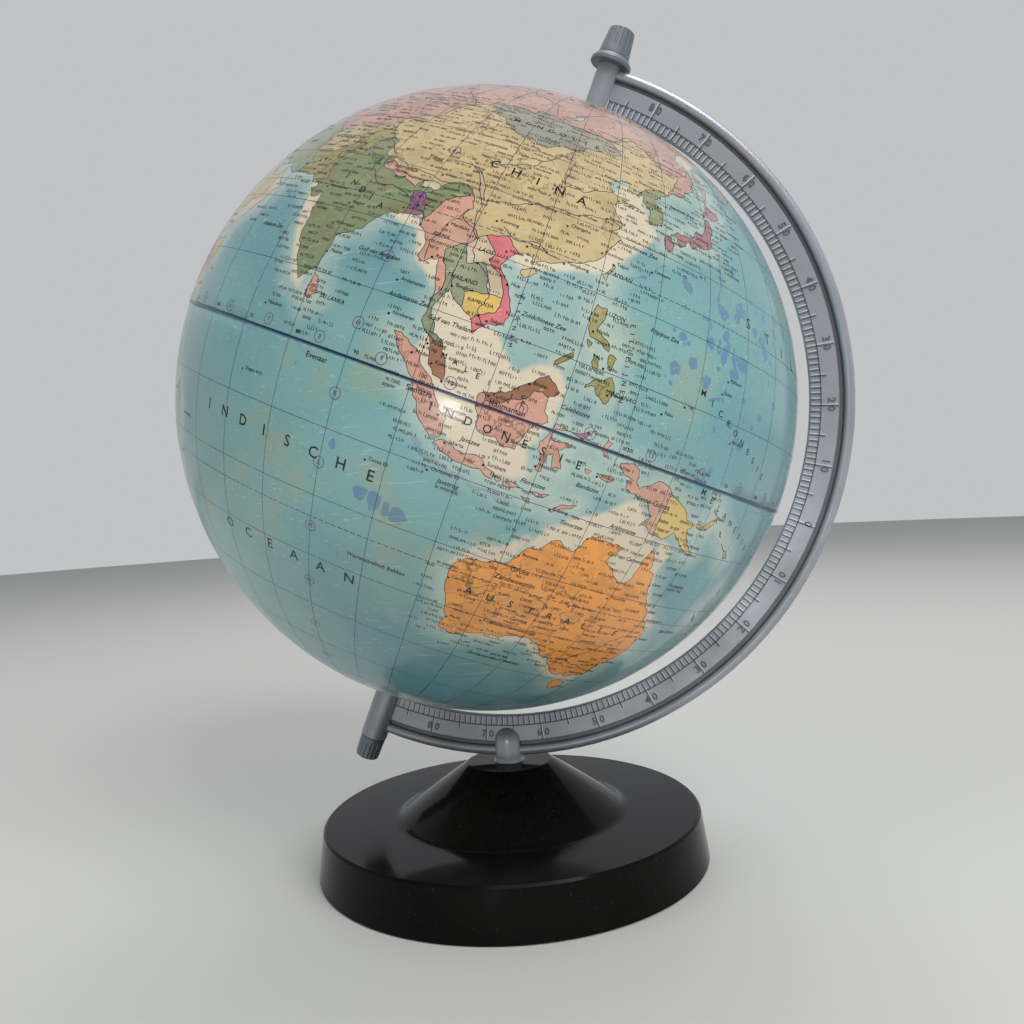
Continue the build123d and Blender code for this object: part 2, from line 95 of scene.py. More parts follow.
COASTS = {
    "eurasia": """
        32.5 30, 34.3 31.3, 35 32.8, 35.9 36.2, 36.1 36.9, 33.6 36.2, 30.6 36.8, 29.2 36.4, 27.4 37,
        26.4 38.4, 26.2 40, 28.9 40.9, 26 40.7, 23.9 40, 22.9 40.4, 23 39.2, 24 38, 23.1 36.6, 21.2 37.6,
        21.2 38.5, 19.4 40.6, 19.5 41.8, 17.3 43, 15.2 44.2, 13.7 45.1, 12.3 45.3, 12.5 44, 14.3 42.4,
        16.1 41.7, 18.4 40.2, 17 40.4, 17.1 39, 15.8 37.9, 15.8 40, 14.2 40.8, 12.3 41.7, 10.4 43,
        10.2 44, 8.8 44.4, 7.5 43.8, 5 43.4, 3.1 43.1, 3.2 42, 0.8 40.8, -0.3 39.4, 0.1 38.7, -0.8 37.6,
        -2.1 36.8, -4.5 36.7, -5.6 36, -6.4 36.9, -8.9 37, -9.3 38.7, -8.8 42.1, -9.2 43.1, -8 43.7,
        -3.8 43.5, -1.7 43.4, -1.2 45, -2.2 47.1, -4.6 48, -3 48.8, -1.6 48.7, -1.8 49.7, 0.2 49.6,
        1.6 50.6, 3.6 51.4, 4.7 53, 7 53.6, 8.6 54, 8.2 56.5, 10.6 57.7, 10.3 56, 10 54.8, 11 54,
        14.2 54, 18.6 54.7, 21 55.3, 21.4 57.4, 23.7 57, 24.4 58.3, 23.5 59.2, 28 59.6, 30 60, 28 60.5,
        23 60, 21.3 61, 21.5 63, 25.4 65, 22.2 65.8, 21.4 64.5, 17.6 62.3, 17.3 60.7, 18.9 59.8,
        16.7 58.4, 16.5 56.5, 14.3 55.5, 12.8 55.6, 12 57.5, 10.6 59.3, 8.2 58.1, 5.6 59, 5 61.5,
        8.5 63.6, 11 65, 14 67.5, 18 69.6, 22 70.5, 26 71, 31 70.3, 33 69.3, 41 67.7, 40 66.2, 34 66.7,
        38 64.3, 40.5 64.8, 42.5 66.4, 44 68, 46 66.9, 46.5 68.2, 54 68.3, 60 69.6, 60.5 68.8, 68 68.3,
        67 69.7, 68.5 73, 72.5 72.8, 71.5 66.5, 73.5 68, 74.5 72, 78 72.3, 80.6 73.6, 87 75, 98 76,
        104.3 77.7, 113.5 75.5, 106 73.2, 113.5 73.5, 123.5 73, 129 71, 131 70.9, 139.5 72.3, 150 71.5,
        160 69.7, 170 70, 171 69, 176 69.8, 180 68.9, 186 66.5, 190 66, 187 64.5, 181.5 65.5,
        177.5 64.7, 179.5 62.5, 174 61.7, 170 60, 165 60, 163.3 58, 162 56, 160 53.2, 156.8 51,
        155.6 54, 155.7 56.8, 161 60.3, 164 62.4, 160 60.8, 156.7 61.5, 154.3 59.6, 149 59.5,
        143 59.3, 137.5 55, 135.2 54.7, 141 53, 140.5 50, 138.5 46.5, 135.3 44, 132 43.2, 130 41.5,
        127.5 39.7, 128.3 38.5, 129.4 37, 129.2 35.3, 126.5 34.3, 126.6 37, 125 38, 125.2 39.5,
        121.5 38.9, 122 40.7, 118 39.2, 118.9 37.4, 122.4 37.3, 119.3 35, 121.7 32, 120.3 30.4,
        121.9 29.6, 120.8 27.9, 119.7 25.7, 117 23.5, 113.7 22.3, 110.5 21.2, 109.8 20.4, 109.6 21.6,
        107.9 21.5, 106.4 20.2, 105.7 18.8, 108 16.2, 109.3 13.2, 109 11.4, 106.8 10.4, 105.2 8.7,
        104.8 10.2, 102.8 11.6, 100.9 12.8, 100.5 13.5, 99.9 12.5, 99.3 9.3, 100.5 7, 102.2 6.2,
        103.4 4, 103.9 1.4, 101.3 2.9, 100.3 6.2, 98.4 8, 98.6 10.4, 97.7 15, 97.2 16.8, 95.3 15.8,
        94.3 16.2, 94.4 18.6, 92.3 20.7, 91.8 22.5, 89 21.8, 87 21.4, 85 19.5, 82.3 16.7, 80.3 15.5,
        80.2 13, 79.8 10.3, 78.1 8.9, 77.5 8.1, 76.3 10, 74.8 13, 73.5 16, 72.8 19, 72.7 21, 72.3 22.2,
        71.8 21.1, 70.5 20.8, 69 22.3, 70.3 22.9, 68.2 23.7, 67 24.8, 61.7 25.1, 57.3 25.7, 56.4 27.1,
        54.5 26.6, 51.4 27.9, 50.2 30, 48.5 30, 48.2 28.8, 50.2 26.5, 50.8 24.8, 51.5 25.9, 51.6 24.3,
        54.2 24.2, 56.2 26.2, 56.6 24.4, 59.8 22.5, 57.8 19, 55.2 17.3, 52.2 15.6, 48.7 14, 45 12.8,
        43.4 12.7, 42.7 16.5, 39.1 21.3, 37.2 24.6, 35 28, 34.9 29.5, 34.2 27.8, 32.6 29.9""",
    "africa": """
        32.4 31.2, 29 30.9, 25 31.6, 20 31, 19.5 30.4, 15.3 32.3, 11 33.5, 11 37, 5 36.9, -2 35.1,
        -5.9 35.8, -6.8 34, -9.8 31.4, -9.8 29.5, -13 27.7, -17 21, -16.3 18, -17.5 14.7, -16.7 12.4,
        -13.3 9, -11.5 6.8, -7.6 4.4, -2 4.8, 2.5 6.3, 5 5.6, 6 4.3, 9 4.5, 9.8 2.5, 9.3 -0.5, 12 -5,
        13.8 -11, 11.8 -16, 14.5 -22.5, 15.3 -27, 18.3 -32, 18.4 -34.3, 20 -34.8, 25.7 -34, 30 -31.5,
        32.8 -27.5, 35.5 -24, 35.3 -22, 34.8 -20, 40.7 -15, 40.5 -10.5, 39.3 -8, 39 -5.5, 42 -1,
        47.5 4, 51.2 10.6, 51.2 11.9, 44 10.5, 43.2 11.6, 42.5 13, 39 16, 37.3 19, 36.9 22, 34 26.5,
        32.6 29.9""",
    "australia": """
        113.7 -22.5, 114.3 -21.8, 116.8 -20.6, 119 -20, 121.5 -19.2, 122.3 -18, 122.9 -16.5,
        124.4 -16.3, 125.8 -14.4, 127 -13.9, 128.2 -14.9, 129.6 -14.9, 130.8 -12.4, 132.6 -11.5,
        133 -12.1, 135.3 -12.2, 136.9 -12.2, 136 -13.5, 135.5 -14.9, 137.5 -16.1, 139.3 -17.5,
        140.8 -17.4, 141.6 -15, 141.7 -12.7, 142.5 -10.8, 143.6 -12.8, 143.8 -14.4, 145.3 -15,
        146.1 -17.8, 147.7 -19.7, 149.3 -21.3, 150.8 -23.4, 153.1 -25.2, 153.2 -28, 152.9 -31.3,
        151.3 -33.6, 150.1 -36.5, 149.9 -37.5, 147.6 -38, 146.3 -38.9, 144.7 -38.2, 143.5 -38.8,
        141 -38.1, 139.8 -36.8, 138.2 -35.5, 138 -34, 136.9 -35.2, 137.8 -33, 135.8 -34.9,
        134.2 -32.8, 131.2 -31.5, 128 -32, 124 -33, 120 -33.9, 118 -35, 115.2 -34.3, 115.7 -32,
        114.9 -29.5, 113.6 -26.3, 113.4 -24.2""",
    "north_america": """
        -168 65.7, -163.5 66.5, -166.5 68.3, -156.5 71.3, -141 69.7, -128 70, -115 68.2, -108 68,
        -96 68, -95 71.8, -90 69, -85 69.5, -81.5 67.5, -87 64.5, -94 61, -94.5 58.8, -88 56.5,
        -82.3 55, -80 51.3, -79 54.5, -77 56.5, -78 62.4, -73 62, -69.5 61, -69 58.8, -64.5 60.3,
        -61.5 57, -56 52.5, -60 50.2, -66.5 50.2, -69.5 48, -64.5 49, -65 46.5, -61 45.6, -66 43.6,
        -66.5 45, -70.5 43.2, -70.3 41.8, -74 40.6, -76 37, -75.7 35.3, -81 32, -80.2 26.5, -81.5 25.8,
        -82.8 29, -85 29.7, -90 29.3, -94.5 29.5, -97.3 27.5, -97.6 22.5, -95.5 18.7, -91 18.7,
        -90.4 21, -87 21.5, -88 16, -83.3 15, -83.7 11, -81.5 9, -79.5 9.5, -77.3 8.3, -78.3 7.3,
        -80.3 7.3, -83 8.2, -85.8 10.5, -87.5 13, -92 14.5, -95 16, -101 17.5, -105.6 20.3,
        -105.5 22.8, -109.3 26, -112.5 30, -114.8 31.7, -112 27.5, -109.5 23, -112.2 25.5, -114.5 28,
        -117.2 32.5, -120.6 34.6, -122.5 37.7, -124.3 40.5, -124.3 46.5, -123 49, -127.5 51,
        -130.5 54.5, -134 58, -140 59.8, -146 60.8, -151.5 59.3, -152.5 61, -156.5 57.2, -164.5 54.6,
        -158 58.5, -162 59.5, -166 61.8, -161 64, -166 64.5""",
    "south_america": """
        -77.3 8.3, -75.5 10.8, -71.7 12.3, -71.5 10.8, -68 11.5, -62 10.7, -57 6, -52 4.8, -50 1,
        -48 -0.7, -44.5 -2.5, -40 -2.9, -35.3 -5.2, -34.8 -8, -39 -13, -39 -17.5, -41 -22,
        -44.7 -23.1, -48.6 -26, -49 -29, -52.5 -33, -55 -35, -58.4 -34, -57 -36.5, -62 -39, -65 -41,
        -65 -45, -67.5 -46.3, -65.8 -48, -69 -51, -68.3 -52.5, -65.2 -54.8, -70 -55.2, -74.5 -52,
        -75.5 -46.8, -73 -42, -73.5 -37.2, -71.5 -32, -70.3 -18.5, -76 -14, -79.8 -7, -81.3 -4.7,
        -80 -3, -80.9 -1, -80 0.8, -77.5 3.9, -77.9 7.2""",
    "antarctica": """
        -169.5 -79, -158 -77.5, -145 -76, -125 -73.8, -100 -73, -75 -73, -67 -67, -58 -63.3, -61 -69,
        -62 -75, -45 -78, -28 -76, -12 -71.5, 10 -70, 35 -69, 55 -66, 70 -68.5, 73 -70.3, 82 -66.8,
        110 -66, 135 -66, 160 -70, 167 -77.8, 178 -78.3, 190.5 -79, 190.5 -88.2, -169.5 -88.2""",
    "greenland": """-73 78.2, -60 76, -54.5 71.5, -53 67.5, -48 61, -43 60, -40 65, -23 70, -19 75,
        -12.5 81.5, -30 83.5, -60 82, -67 80.3""",
    "iceland": "-24 65.5, -20 66, -14.5 65.2, -18.5 63.4, -22.5 63.9",
    "britain": """-5.5 50.1, -3 50.7, 1.2 51.2, 0.3 53, -1.5 55, -2 57.6, -5 58.6, -6 56.7, -4.8 54.7,
        -3 53.8, -4.5 53.2, -5.2 51.8, -3 51.4""",
    "ireland": "-10 51.6, -6.3 52.2, -6 54.5, -8 55.3, -10 54",
    "baffin": "-65 62, -78 64.5, -72 67.5, -85 70, -90 73.5, -80 73.5, -68 70, -61.5 66.7",
    "victoria": "-105 69, -117 69.5, -118 72.5, -105 73",
    "ellesmere": "-78 76.5, -90 77, -92 81, -70 83, -65 81.5, -75 79",
    "newfoundland": "-59.3 47.7, -53 46.7, -55.5 51.5",
    "cuba": "-84.8 21.9, -80.5 23.1, -74.3 20.2, -77.7 19.9",
    "hispaniola": "-74.3 18.4, -73 19.9, -68.5 18.6, -71.5 17.7",
    "novaya_zemlya": "51.7 71.5, 57 70.7, 56 73, 68 76.8, 60 76.2, 53 73.5",
    "svalbard": "11 79, 17 76.8, 25 80.2, 14 80",
    "severnaya": "95 80.5, 103 79, 98 78.8",
    "new_siberian": "138 75.8, 146 75.2, 140 74.5",
    "wrangel": "178.5 71.3, 181.5 71.6, 181 70.9",
    "madagascar": "49.3 -12, 50.4 -15.5, 49 -19, 47 -25, 45 -25.5, 43.4 -22.5, 44.3 -19.5, 44.5 -16.2",
    "ceylon": "80 9.7, 81.3 8.6, 81.9 7, 80.6 5.9, 79.8 7",
    "sumatra": """95.3 5.6, 97.5 5.2, 100.3 2.6, 103.6 -0.8, 106 -3, 105.8 -5.8, 104.5 -5.9, 102 -3.8,
        100.4 -1, 98.7 1.7, 96.5 3.7""",
    "java": """105.2 -6.8, 106.2 -5.9, 108.5 -6.6, 110.8 -6.4, 112.7 -7, 114.5 -7.8, 114.4 -8.7,
        110.5 -8.1, 107 -7.5""",
    "bali": "114.6 -8.1, 115.7 -8.3, 115.2 -8.8",
    "sumbawa": "116 -8.5, 117.5 -8.2, 119 -8.5, 117 -9.1, 116 -8.9",
    "flores": "119.9 -8.5, 121.5 -8.5, 122.8 -8.2, 121 -9",
    "sumba": "119 -9.6, 120.3 -9.5, 120.6 -10.3, 119.6 -10",
    "timor": "123.5 -10.3, 125 -8.9, 127.2 -8.4, 125.5 -9.4, 124 -10.4",
    "borneo": """109 1.5, 109.7 2, 111.4 2.6, 113 3.3, 114.3 4.6, 116 6.2, 117 6.9, 117.7 6.3,
        119.2 5.2, 117.8 4.2, 118 2.2, 119 1, 117.5 0.4, 116.5 -2, 116 -3.9, 114.5 -4.1, 113 -3.2,
        111.7 -3.4, 110.2 -2.9, 109.9 -1.3, 109.1 -0.2""",
    "celebes": """120 1.3, 121 1.3, 123 0.9, 125.2 1.6, 124.4 0.4, 120.2 0.5, 120.2 -1, 121.5 -0.9,
        123.3 -0.8, 123.2 -1.1, 121.7 -2, 122.3 -3.3, 122.9 -4.3, 121.5 -4.7, 121.2 -2.8, 120.4 -3,
        120.4 -5.5, 119.5 -5.5, 119.5 -3.5, 118.8 -2.8, 119.4 -1""",
    "halmahera": "127.5 0.3, 127.7 2, 128.1 1.3, 128.7 1.3, 128.2 0.3, 128.4 -0.8, 127.7 -0.2",
    "ceram": "128 -3.2, 130.8 -3.1, 130.5 -3.8, 128.5 -3.5",
    "buru": "126.1 -3.2, 127.2 -3.2, 126.7 -3.8",
    "new_guinea": """130.9 -0.8, 132.5 -0.4, 134.1 -0.8, 134.5 -2.8, 135.2 -3.3, 137.8 -1.5, 141 -2.6,
        144.5 -3.9, 146 -5.5, 147.8 -6, 147 -6.8, 148.5 -9, 150.8 -10.5, 147 -9.5, 144.5 -7.7,
        143 -9.3, 141 -9.1, 139 -8.1, 137.7 -8.4, 138.9 -7, 138 -5.5, 135.3 -4.4, 133 -4, 132.8 -2.8,
        133.8 -2.5, 132 -2.2, 131 -1.4""",
    "new_britain": "148.5 -5.6, 150.5 -5.5, 151.7 -4.3, 152.3 -4.5, 151.5 -5.6, 150 -6.3, 148.5 -6",
    "new_ireland": "150.9 -2.7, 152.5 -3.6, 153 -4.6, 151.8 -3.4",
    "bougainville": "154.7 -5.5, 155.9 -6.5, 155.3 -6.4",
    "solomons": "157 -7.5, 159.8 -8.4, 161.3 -9.6, 160 -9.8, 158.3 -8.2",
    "new_caledonia": "164 -20.2, 167 -22.3, 166.3 -22.3",
    "hebrides": "166.7 -15, 168.4 -16.6, 167.3 -16.2",
    "fiji": "177.3 -18, 178.5 -17.4, 178.3 -18.2",
    "luzon": """120.6 18.5, 122.2 18.4, 122 16.3, 121.6 14.9, 123.8 13.8, 124 12.7, 122.5 13.6,
        120.8 13.8, 120.3 14.7, 119.9 16.2""",
    "mindoro": "120.5 13.4, 121.4 13.1, 121.1 12.3",
    "panay": "122 11.8, 123 11.5, 123.2 9.3, 122.4 9.8, 122 10.6",
    "samar": "124.3 12.5, 125.4 12.2, 125 10.2, 124.4 11",
    "palawan": "117.2 8.4, 119.4 10.5, 119.2 11, 117.1 8.9",
    "mindanao": "122.1 7, 123.4 8.6, 125.5 9.7, 126.5 7.8, 126 6.3, 125.4 5.8, 124.1 6.6, 123.5 7.6",
    "formosa": "121.5 25.2, 121.9 24.8, 120.9 22, 120.1 23",
    "hainan": "108.7 19.3, 110.5 20.1, 111 19.6, 109.5 18.2, 108.7 18.7",
    "honshu": """130.9 34.1, 132.6 35.4, 135.8 35.6, 137 37.3, 138.5 37.3, 140 39.5, 140.3 41.1,
        141.4 41.3, 142 39.6, 140.9 38.1, 140.8 35.8, 139 34.8, 137 34.6, 135.8 33.5, 135 34.6,
        132.4 34.2""",
    "kyushu": "129.8 33.4, 131 33.9, 131.9 32.7, 131 31.2, 130.2 31.3, 129.8 32.7",
    "shikoku": "132.4 33.9, 134.3 34.3, 134.3 33.5, 133 32.8",
    "hokkaido": """140.1 41.5, 141.2 43.3, 141.8 45.4, 143.5 44.2, 145.3 43.9, 145.4 43.2, 143.3 42,
        141 42.5""",
    "sakhalin": """142 46, 142.1 49, 141.8 52, 142.7 54.3, 143.3 52.5, 143.2 49.3, 144.6 49, 143 47,
        143.5 46.2, 142.7 46.7""",
    "tasmania": "144.7 -40.7, 148.2 -40.8, 148 -43, 146.5 -43.6, 145.3 -42.5",
    "new_zealand_north": """172.8 -34.5, 175.5 -36.6, 178.5 -37.7, 177 -39.5, 175.3 -41.6,
        173.8 -39.4, 174.8 -38, 174 -36""",
    "new_zealand_south": """172.8 -40.6, 174.3 -41.7, 172.8 -43.6, 170.8 -45.9, 168.5 -46.6,
        166.6 -45.9, 168.5 -44, 171 -42.5""",
}

LAKES = {
    "caspian": """51.3 47, 53 45.2, 50.5 44.5, 53.6 40.6, 53.9 37, 50.2 37.4, 49.4 40.2, 47.5 43,
        47 44.7, 49 46.5""",
    "black": """28.6 41.5, 28 43.5, 30.8 46.5, 33 46.1, 32.5 45.3, 34 44.4, 36.6 45.3, 35.2 46.4,
        39.2 47.1, 37.6 45.4, 41.5 42.6, 41.3 41.4, 38 41, 35 42, 31.4 41.3, 29 41.3""",
    "aral": "58.5 45.5, 61 46.7, 61.5 44.5, 59 43.8",
    "baikal": "103.8 51.5, 107 53, 109.7 55.6, 109 53.2, 105.5 51.6",
    "balkhash": "74 45, 75 46.8, 79 46.6, 75.5 46",
    "victoria_lake": "31.8 -0.8, 33.5 0.3, 34 -1.2, 32.5 -2.5",
    "superior": "-92 46.8, -89 48.4, -84.8 47.5, -87 46.6",
    "michigan": "-87.8 42, -87.5 44.8, -85.5 45.9, -86.4 42.5",
    "huron": "-82.4 43.3, -84.5 45.9, -80.5 45.6, -81.6 44",
    "erie": "-83.2 41.8, -79 42.8, -81 41.9",
    "bear": "-124 65.5, -119 67, -118 65.5, -122 65",
    "slave": "-116.5 61.2, -110 62.6, -113 61",
    "winnipeg": "-98.5 51, -98.5 53.5, -96.5 51",
}

# Frontiers between coloured countries. Ends run a little past the coast.
BORDERS = [
    "87 49.2, 92 50.6, 98 50, 98.5 52, 102.2 51.4, 107 49.8, 116.5 49.8",
    "116.5 49.8, 120 52.8, 125.5 53, 127.5 50, 131 47.8, 134.7 48.3, 133 45, 131 43, 130.8 42",
    "87 49.2, 91 46.5, 95.5 44.2, 101 42.6, 105 41.6, 111.5 43.6, 112 45, 119.8 46.7, 116.5 49.8",
    "87 49.2, 82.3 45.5, 80.3 42, 74 39.5, 74.9 37.2",
    "74.9 37.2, 77 35, 78.9 34.3, 78.8 31, 81.2 30.2, 86 28, 88.8 27.9, 92 27.8, 96 29.3, 97.3 28.2",
    "81.2 30.2, 80.1 28.8, 84 27.4, 88.1 26.4, 88.8 27.9",
    "88.8 27.9, 89 26.8, 92 26.8, 92 27.8",
    "88.9 21.4, 88.7 24.2, 88.2 25.8, 89.8 26, 92.3 25.1, 91.3 23.8, 92.3 22, 92.2 20.5",
    "92.3 22, 93.3 24, 95.2 26.7, 97.3 28.2, 98.6 25.8, 97.7 24, 99.5 22.9, 101.2 21.6",
    "101.2 21.6, 100.2 20.3, 97.5 18.5, 98.6 16.2, 99.2 12.5, 98.4 10",
    "101.2 21.6, 102.2 22.4, 105.3 23.3, 106.7 22, 108.3 21.3",
    "102.2 22.4, 104.5 20.2, 104 19, 107.5 15.3, 107.6 14.5",
    "100.2 20.3, 101.2 17.5, 103.5 18.3, 104.8 16.5, 105.6 14.4",
    "102.7 11.4, 102.4 13.6, 105.6 14.4, 107.6 14.5, 107.4 12.3, 105.9 11.5, 104.5 10.2",
    "99.8 6.7, 102.3 6",
    "109.4 2.2, 110 0.9, 112.5 1.5, 115 2.9, 115.8 4.3, 118 4.1",
    "141 -2.2, 141 -9.4",
    "123.9 38.9, 124.3 39.9, 127 41.6, 131.2 42",
    "125.9 37.6, 128.6 38.7",
    "68 23.5, 71 24.4, 70 27.9, 74.5 31, 74.2 33, 77 35",
    "61.7 24.9, 63.2 27.2, 61 29.8, 66.3 29.8, 69.5 32, 71.3 35.5, 74.9 37.2",
    "61 29.8, 60.6 33.5, 61 35.5, 64.7 37, 68 37, 71.5 38, 74.9 37.2",
    "53.6 37.2, 57 38.2, 61 35.5",
    "48.6 29.8, 46 33, 44.8 37.2, 44.3 39.7, 49.2 38.3",
    "44.3 39.7, 41.3 41.6",
    "34.8 29.3, 39 32, 46.5 29.1, 48.6 28.5",
    "42.5 16.3, 45 17.3, 52 19, 55.5 20, 56.2 24.5",
    "35.7 35.9, 42.4 37.1, 44.8 37.2",
    "42.4 37.1, 39 32, 35.6 32.8, 34.8 29.3",
    "24 59.5, 28 57.8, 28 56, 24 54.5, 23.7 51, 26.5 48, 29.8 45.3",
    "-1.9 43.6, 3.3 42.3",
    "7.4 43.6, 7 46, 7.6 47.6, 8.2 49, 6 50, 2.4 51.3",
    "14.2 54.2, 15 51, 12.3 50.2, 13.8 48.7, 9.6 47.5, 7.6 47.6",
    "19.8 54.6, 23.5 53.9",
    "7 46, 10.5 46.8, 13.7 46.5, 13.5 45.4",
    "13.7 46.5, 16.5 46.5, 19 46, 22.6 44.5, 22.9 41.3, 20 39.5",
    "15 51, 18.8 49.5, 22.6 49, 26.5 48",
    "11.2 58.9, 12.5 61, 14 64, 20 69, 24.1 65.6",
    "28 60.2, 31.5 62.8, 29.5 69, 20 69",
    "-2 35.3, -3.5 31, -8.7 28.7, -13.2 27.7",
    "9.5 34, 9.8 29, 10 24.3, 14 23, 24 19.5, 25 22",
    "-8.7 28.7, -4.8 25, 3.2 19, 12 23.5, 14 23",
    "25 31.8, 25 22, 37.2 22",
    "24 19.5, 22.5 14, 23 10.5, 27.5 5, 30.8 3.5, 34 4.3",
    "38.8 18, 36.5 14.5, 34 8.5, 36 4.5, 42 4, 41.3 -1.7",
    "42 4, 48 8, 43 11.3",
    "3.2 19, 3.5 12, 13.5 13.6, 14 23",
    "12 -5.8, 16 -2, 18.5 4.5, 27.5 5",
    "30.8 3.5, 29.5 -3, 30.7 -8.5, 28.5 -12.5, 24 -11, 21.8 -7.3, 16.5 -6, 12 -5.8",
    "24 -11, 24 -16, 21 -17.8, 11.6 -17.3",
    "39.4 -4.6, 34 -1, 30.5 -1.2, 29.5 -3",
    "30.7 -8.5, 34 -9.5, 34.8 -11.5, 40.6 -10.5",
    "34.8 -11.5, 35 -16, 30.4 -15.6, 32.8 -19, 31.3 -22.4, 32 -26.8, 33 -27",
    "16.2 -28.6, 20 -28, 20 -22, 21 -17.8",
    "20 -25, 25 -25.6, 29 -22.2, 31.3 -22.4",
    "24 -16, 25 -17.8, 29 -22.2",
    "8.4 4.4, 13.5 13.6, 15 8, 18.5 4.5",
    "2.6 6.1, 3.5 12, -5 12, -8.5 7.6, -7.5 4.2",
    "-16.9 12.4, -11.5 12.4, -8.5 7.6",
    "-123 49.2, -95 49, -89 48, -82.5 45.5, -79 43.2, -75 45, -71 45.3, -69 47.4, -66.8 44.8",
    "-141 69.9, -141 60.2, -130 55, -131 54.3",
    "-117.4 32.4, -111 31.4, -106.4 31.8, -103 29, -99.5 27.5, -97 25.8",
    "-92.2 14.3, -91 17.5, -88 18.3",
    """-51.4 4.9, -56 2.2, -60 5, -64 3.8, -67 1.2, -69.7 -4.2, -73.7 -7.3, -70.6 -9.8, -65.3 -11,
    -60.2 -14.5""",
    "-60.2 -14.5, -58 -18, -58 -22.2, -54.5 -24.5, -53.8 -27.1, -57.6 -30.2, -53.2 -33.8",
    "-67 -22, -69.5 -27, -70 -33, -71.5 -39, -72 -46, -72.5 -51.5, -68.3 -52.4",
    "-70.5 -18.4, -69.5 -17.5, -68.7 -11",
    "-69.5 -17.5, -67 -22, -62.6 -22.2, -58 -20",
    "-80.5 -3.4, -78.5 -4.8, -75.2 -0.8, -70 -2.5, -69.7 -4.2",
    "-71.8 12.4, -72.5 7.5, -67.5 6, -67 1.2",
    "-79.2 1.5, -75.2 -0.8",
    "-60 5, -61.5 8.5, -60 9",
]

RIVERS = [
    "91 33, 97 32, 99.5 27.5, 103 28.5, 106.5 29.5, 111 30.5, 114.3 30.6, 117 31.5, 119.5 32.2, 121.5 31.7",
    "97 35, 101 35.5, 104 36.5, 106.5 39, 108 40.8, 111 40.5, 110.5 35, 114 35, 117.5 37, 119 37.6",
    "94 33.5, 98 29, 99.8 23.5, 101.2 21.4, 102 18, 104.8 16.5, 105.9 14, 105 11.8, 106.6 10",
    "79 30.8, 78.5 28, 81.5 25.5, 85 25.6, 88 24.6, 90.5 23.2",
    "82 30.4, 88 29.3, 94.5 29.4, 95 27.8, 91 26.2, 89.8 25.4, 90.3 23",
    "81 31.5, 77 34.2, 73.5 34.8, 71.5 31.5, 69 28, 67.8 24.5",
    "98 25.5, 96 22, 94.8 19, 95.3 16.2",
    "100 17.5, 100.2 15, 100.5 13.7",
    "104 24.5, 107 23.2, 110.5 23.5, 113.4 22.7",
    "84 48, 79 52, 73.5 55, 69 60, 66.5 66",
    "103 52, 101 57, 93 58.5, 87 65, 83 71",
    "107 54, 115 60, 124 61, 126.5 66, 127 72",
    "117 50, 123 53.4, 130 48.5, 135.5 49, 140.5 53",
    "148 -36.2, 144 -35.5, 141 -34.2, 139.3 -35.4",
    "149 -27, 146 -30.5, 142.5 -33, 141.5 -34.2",
]

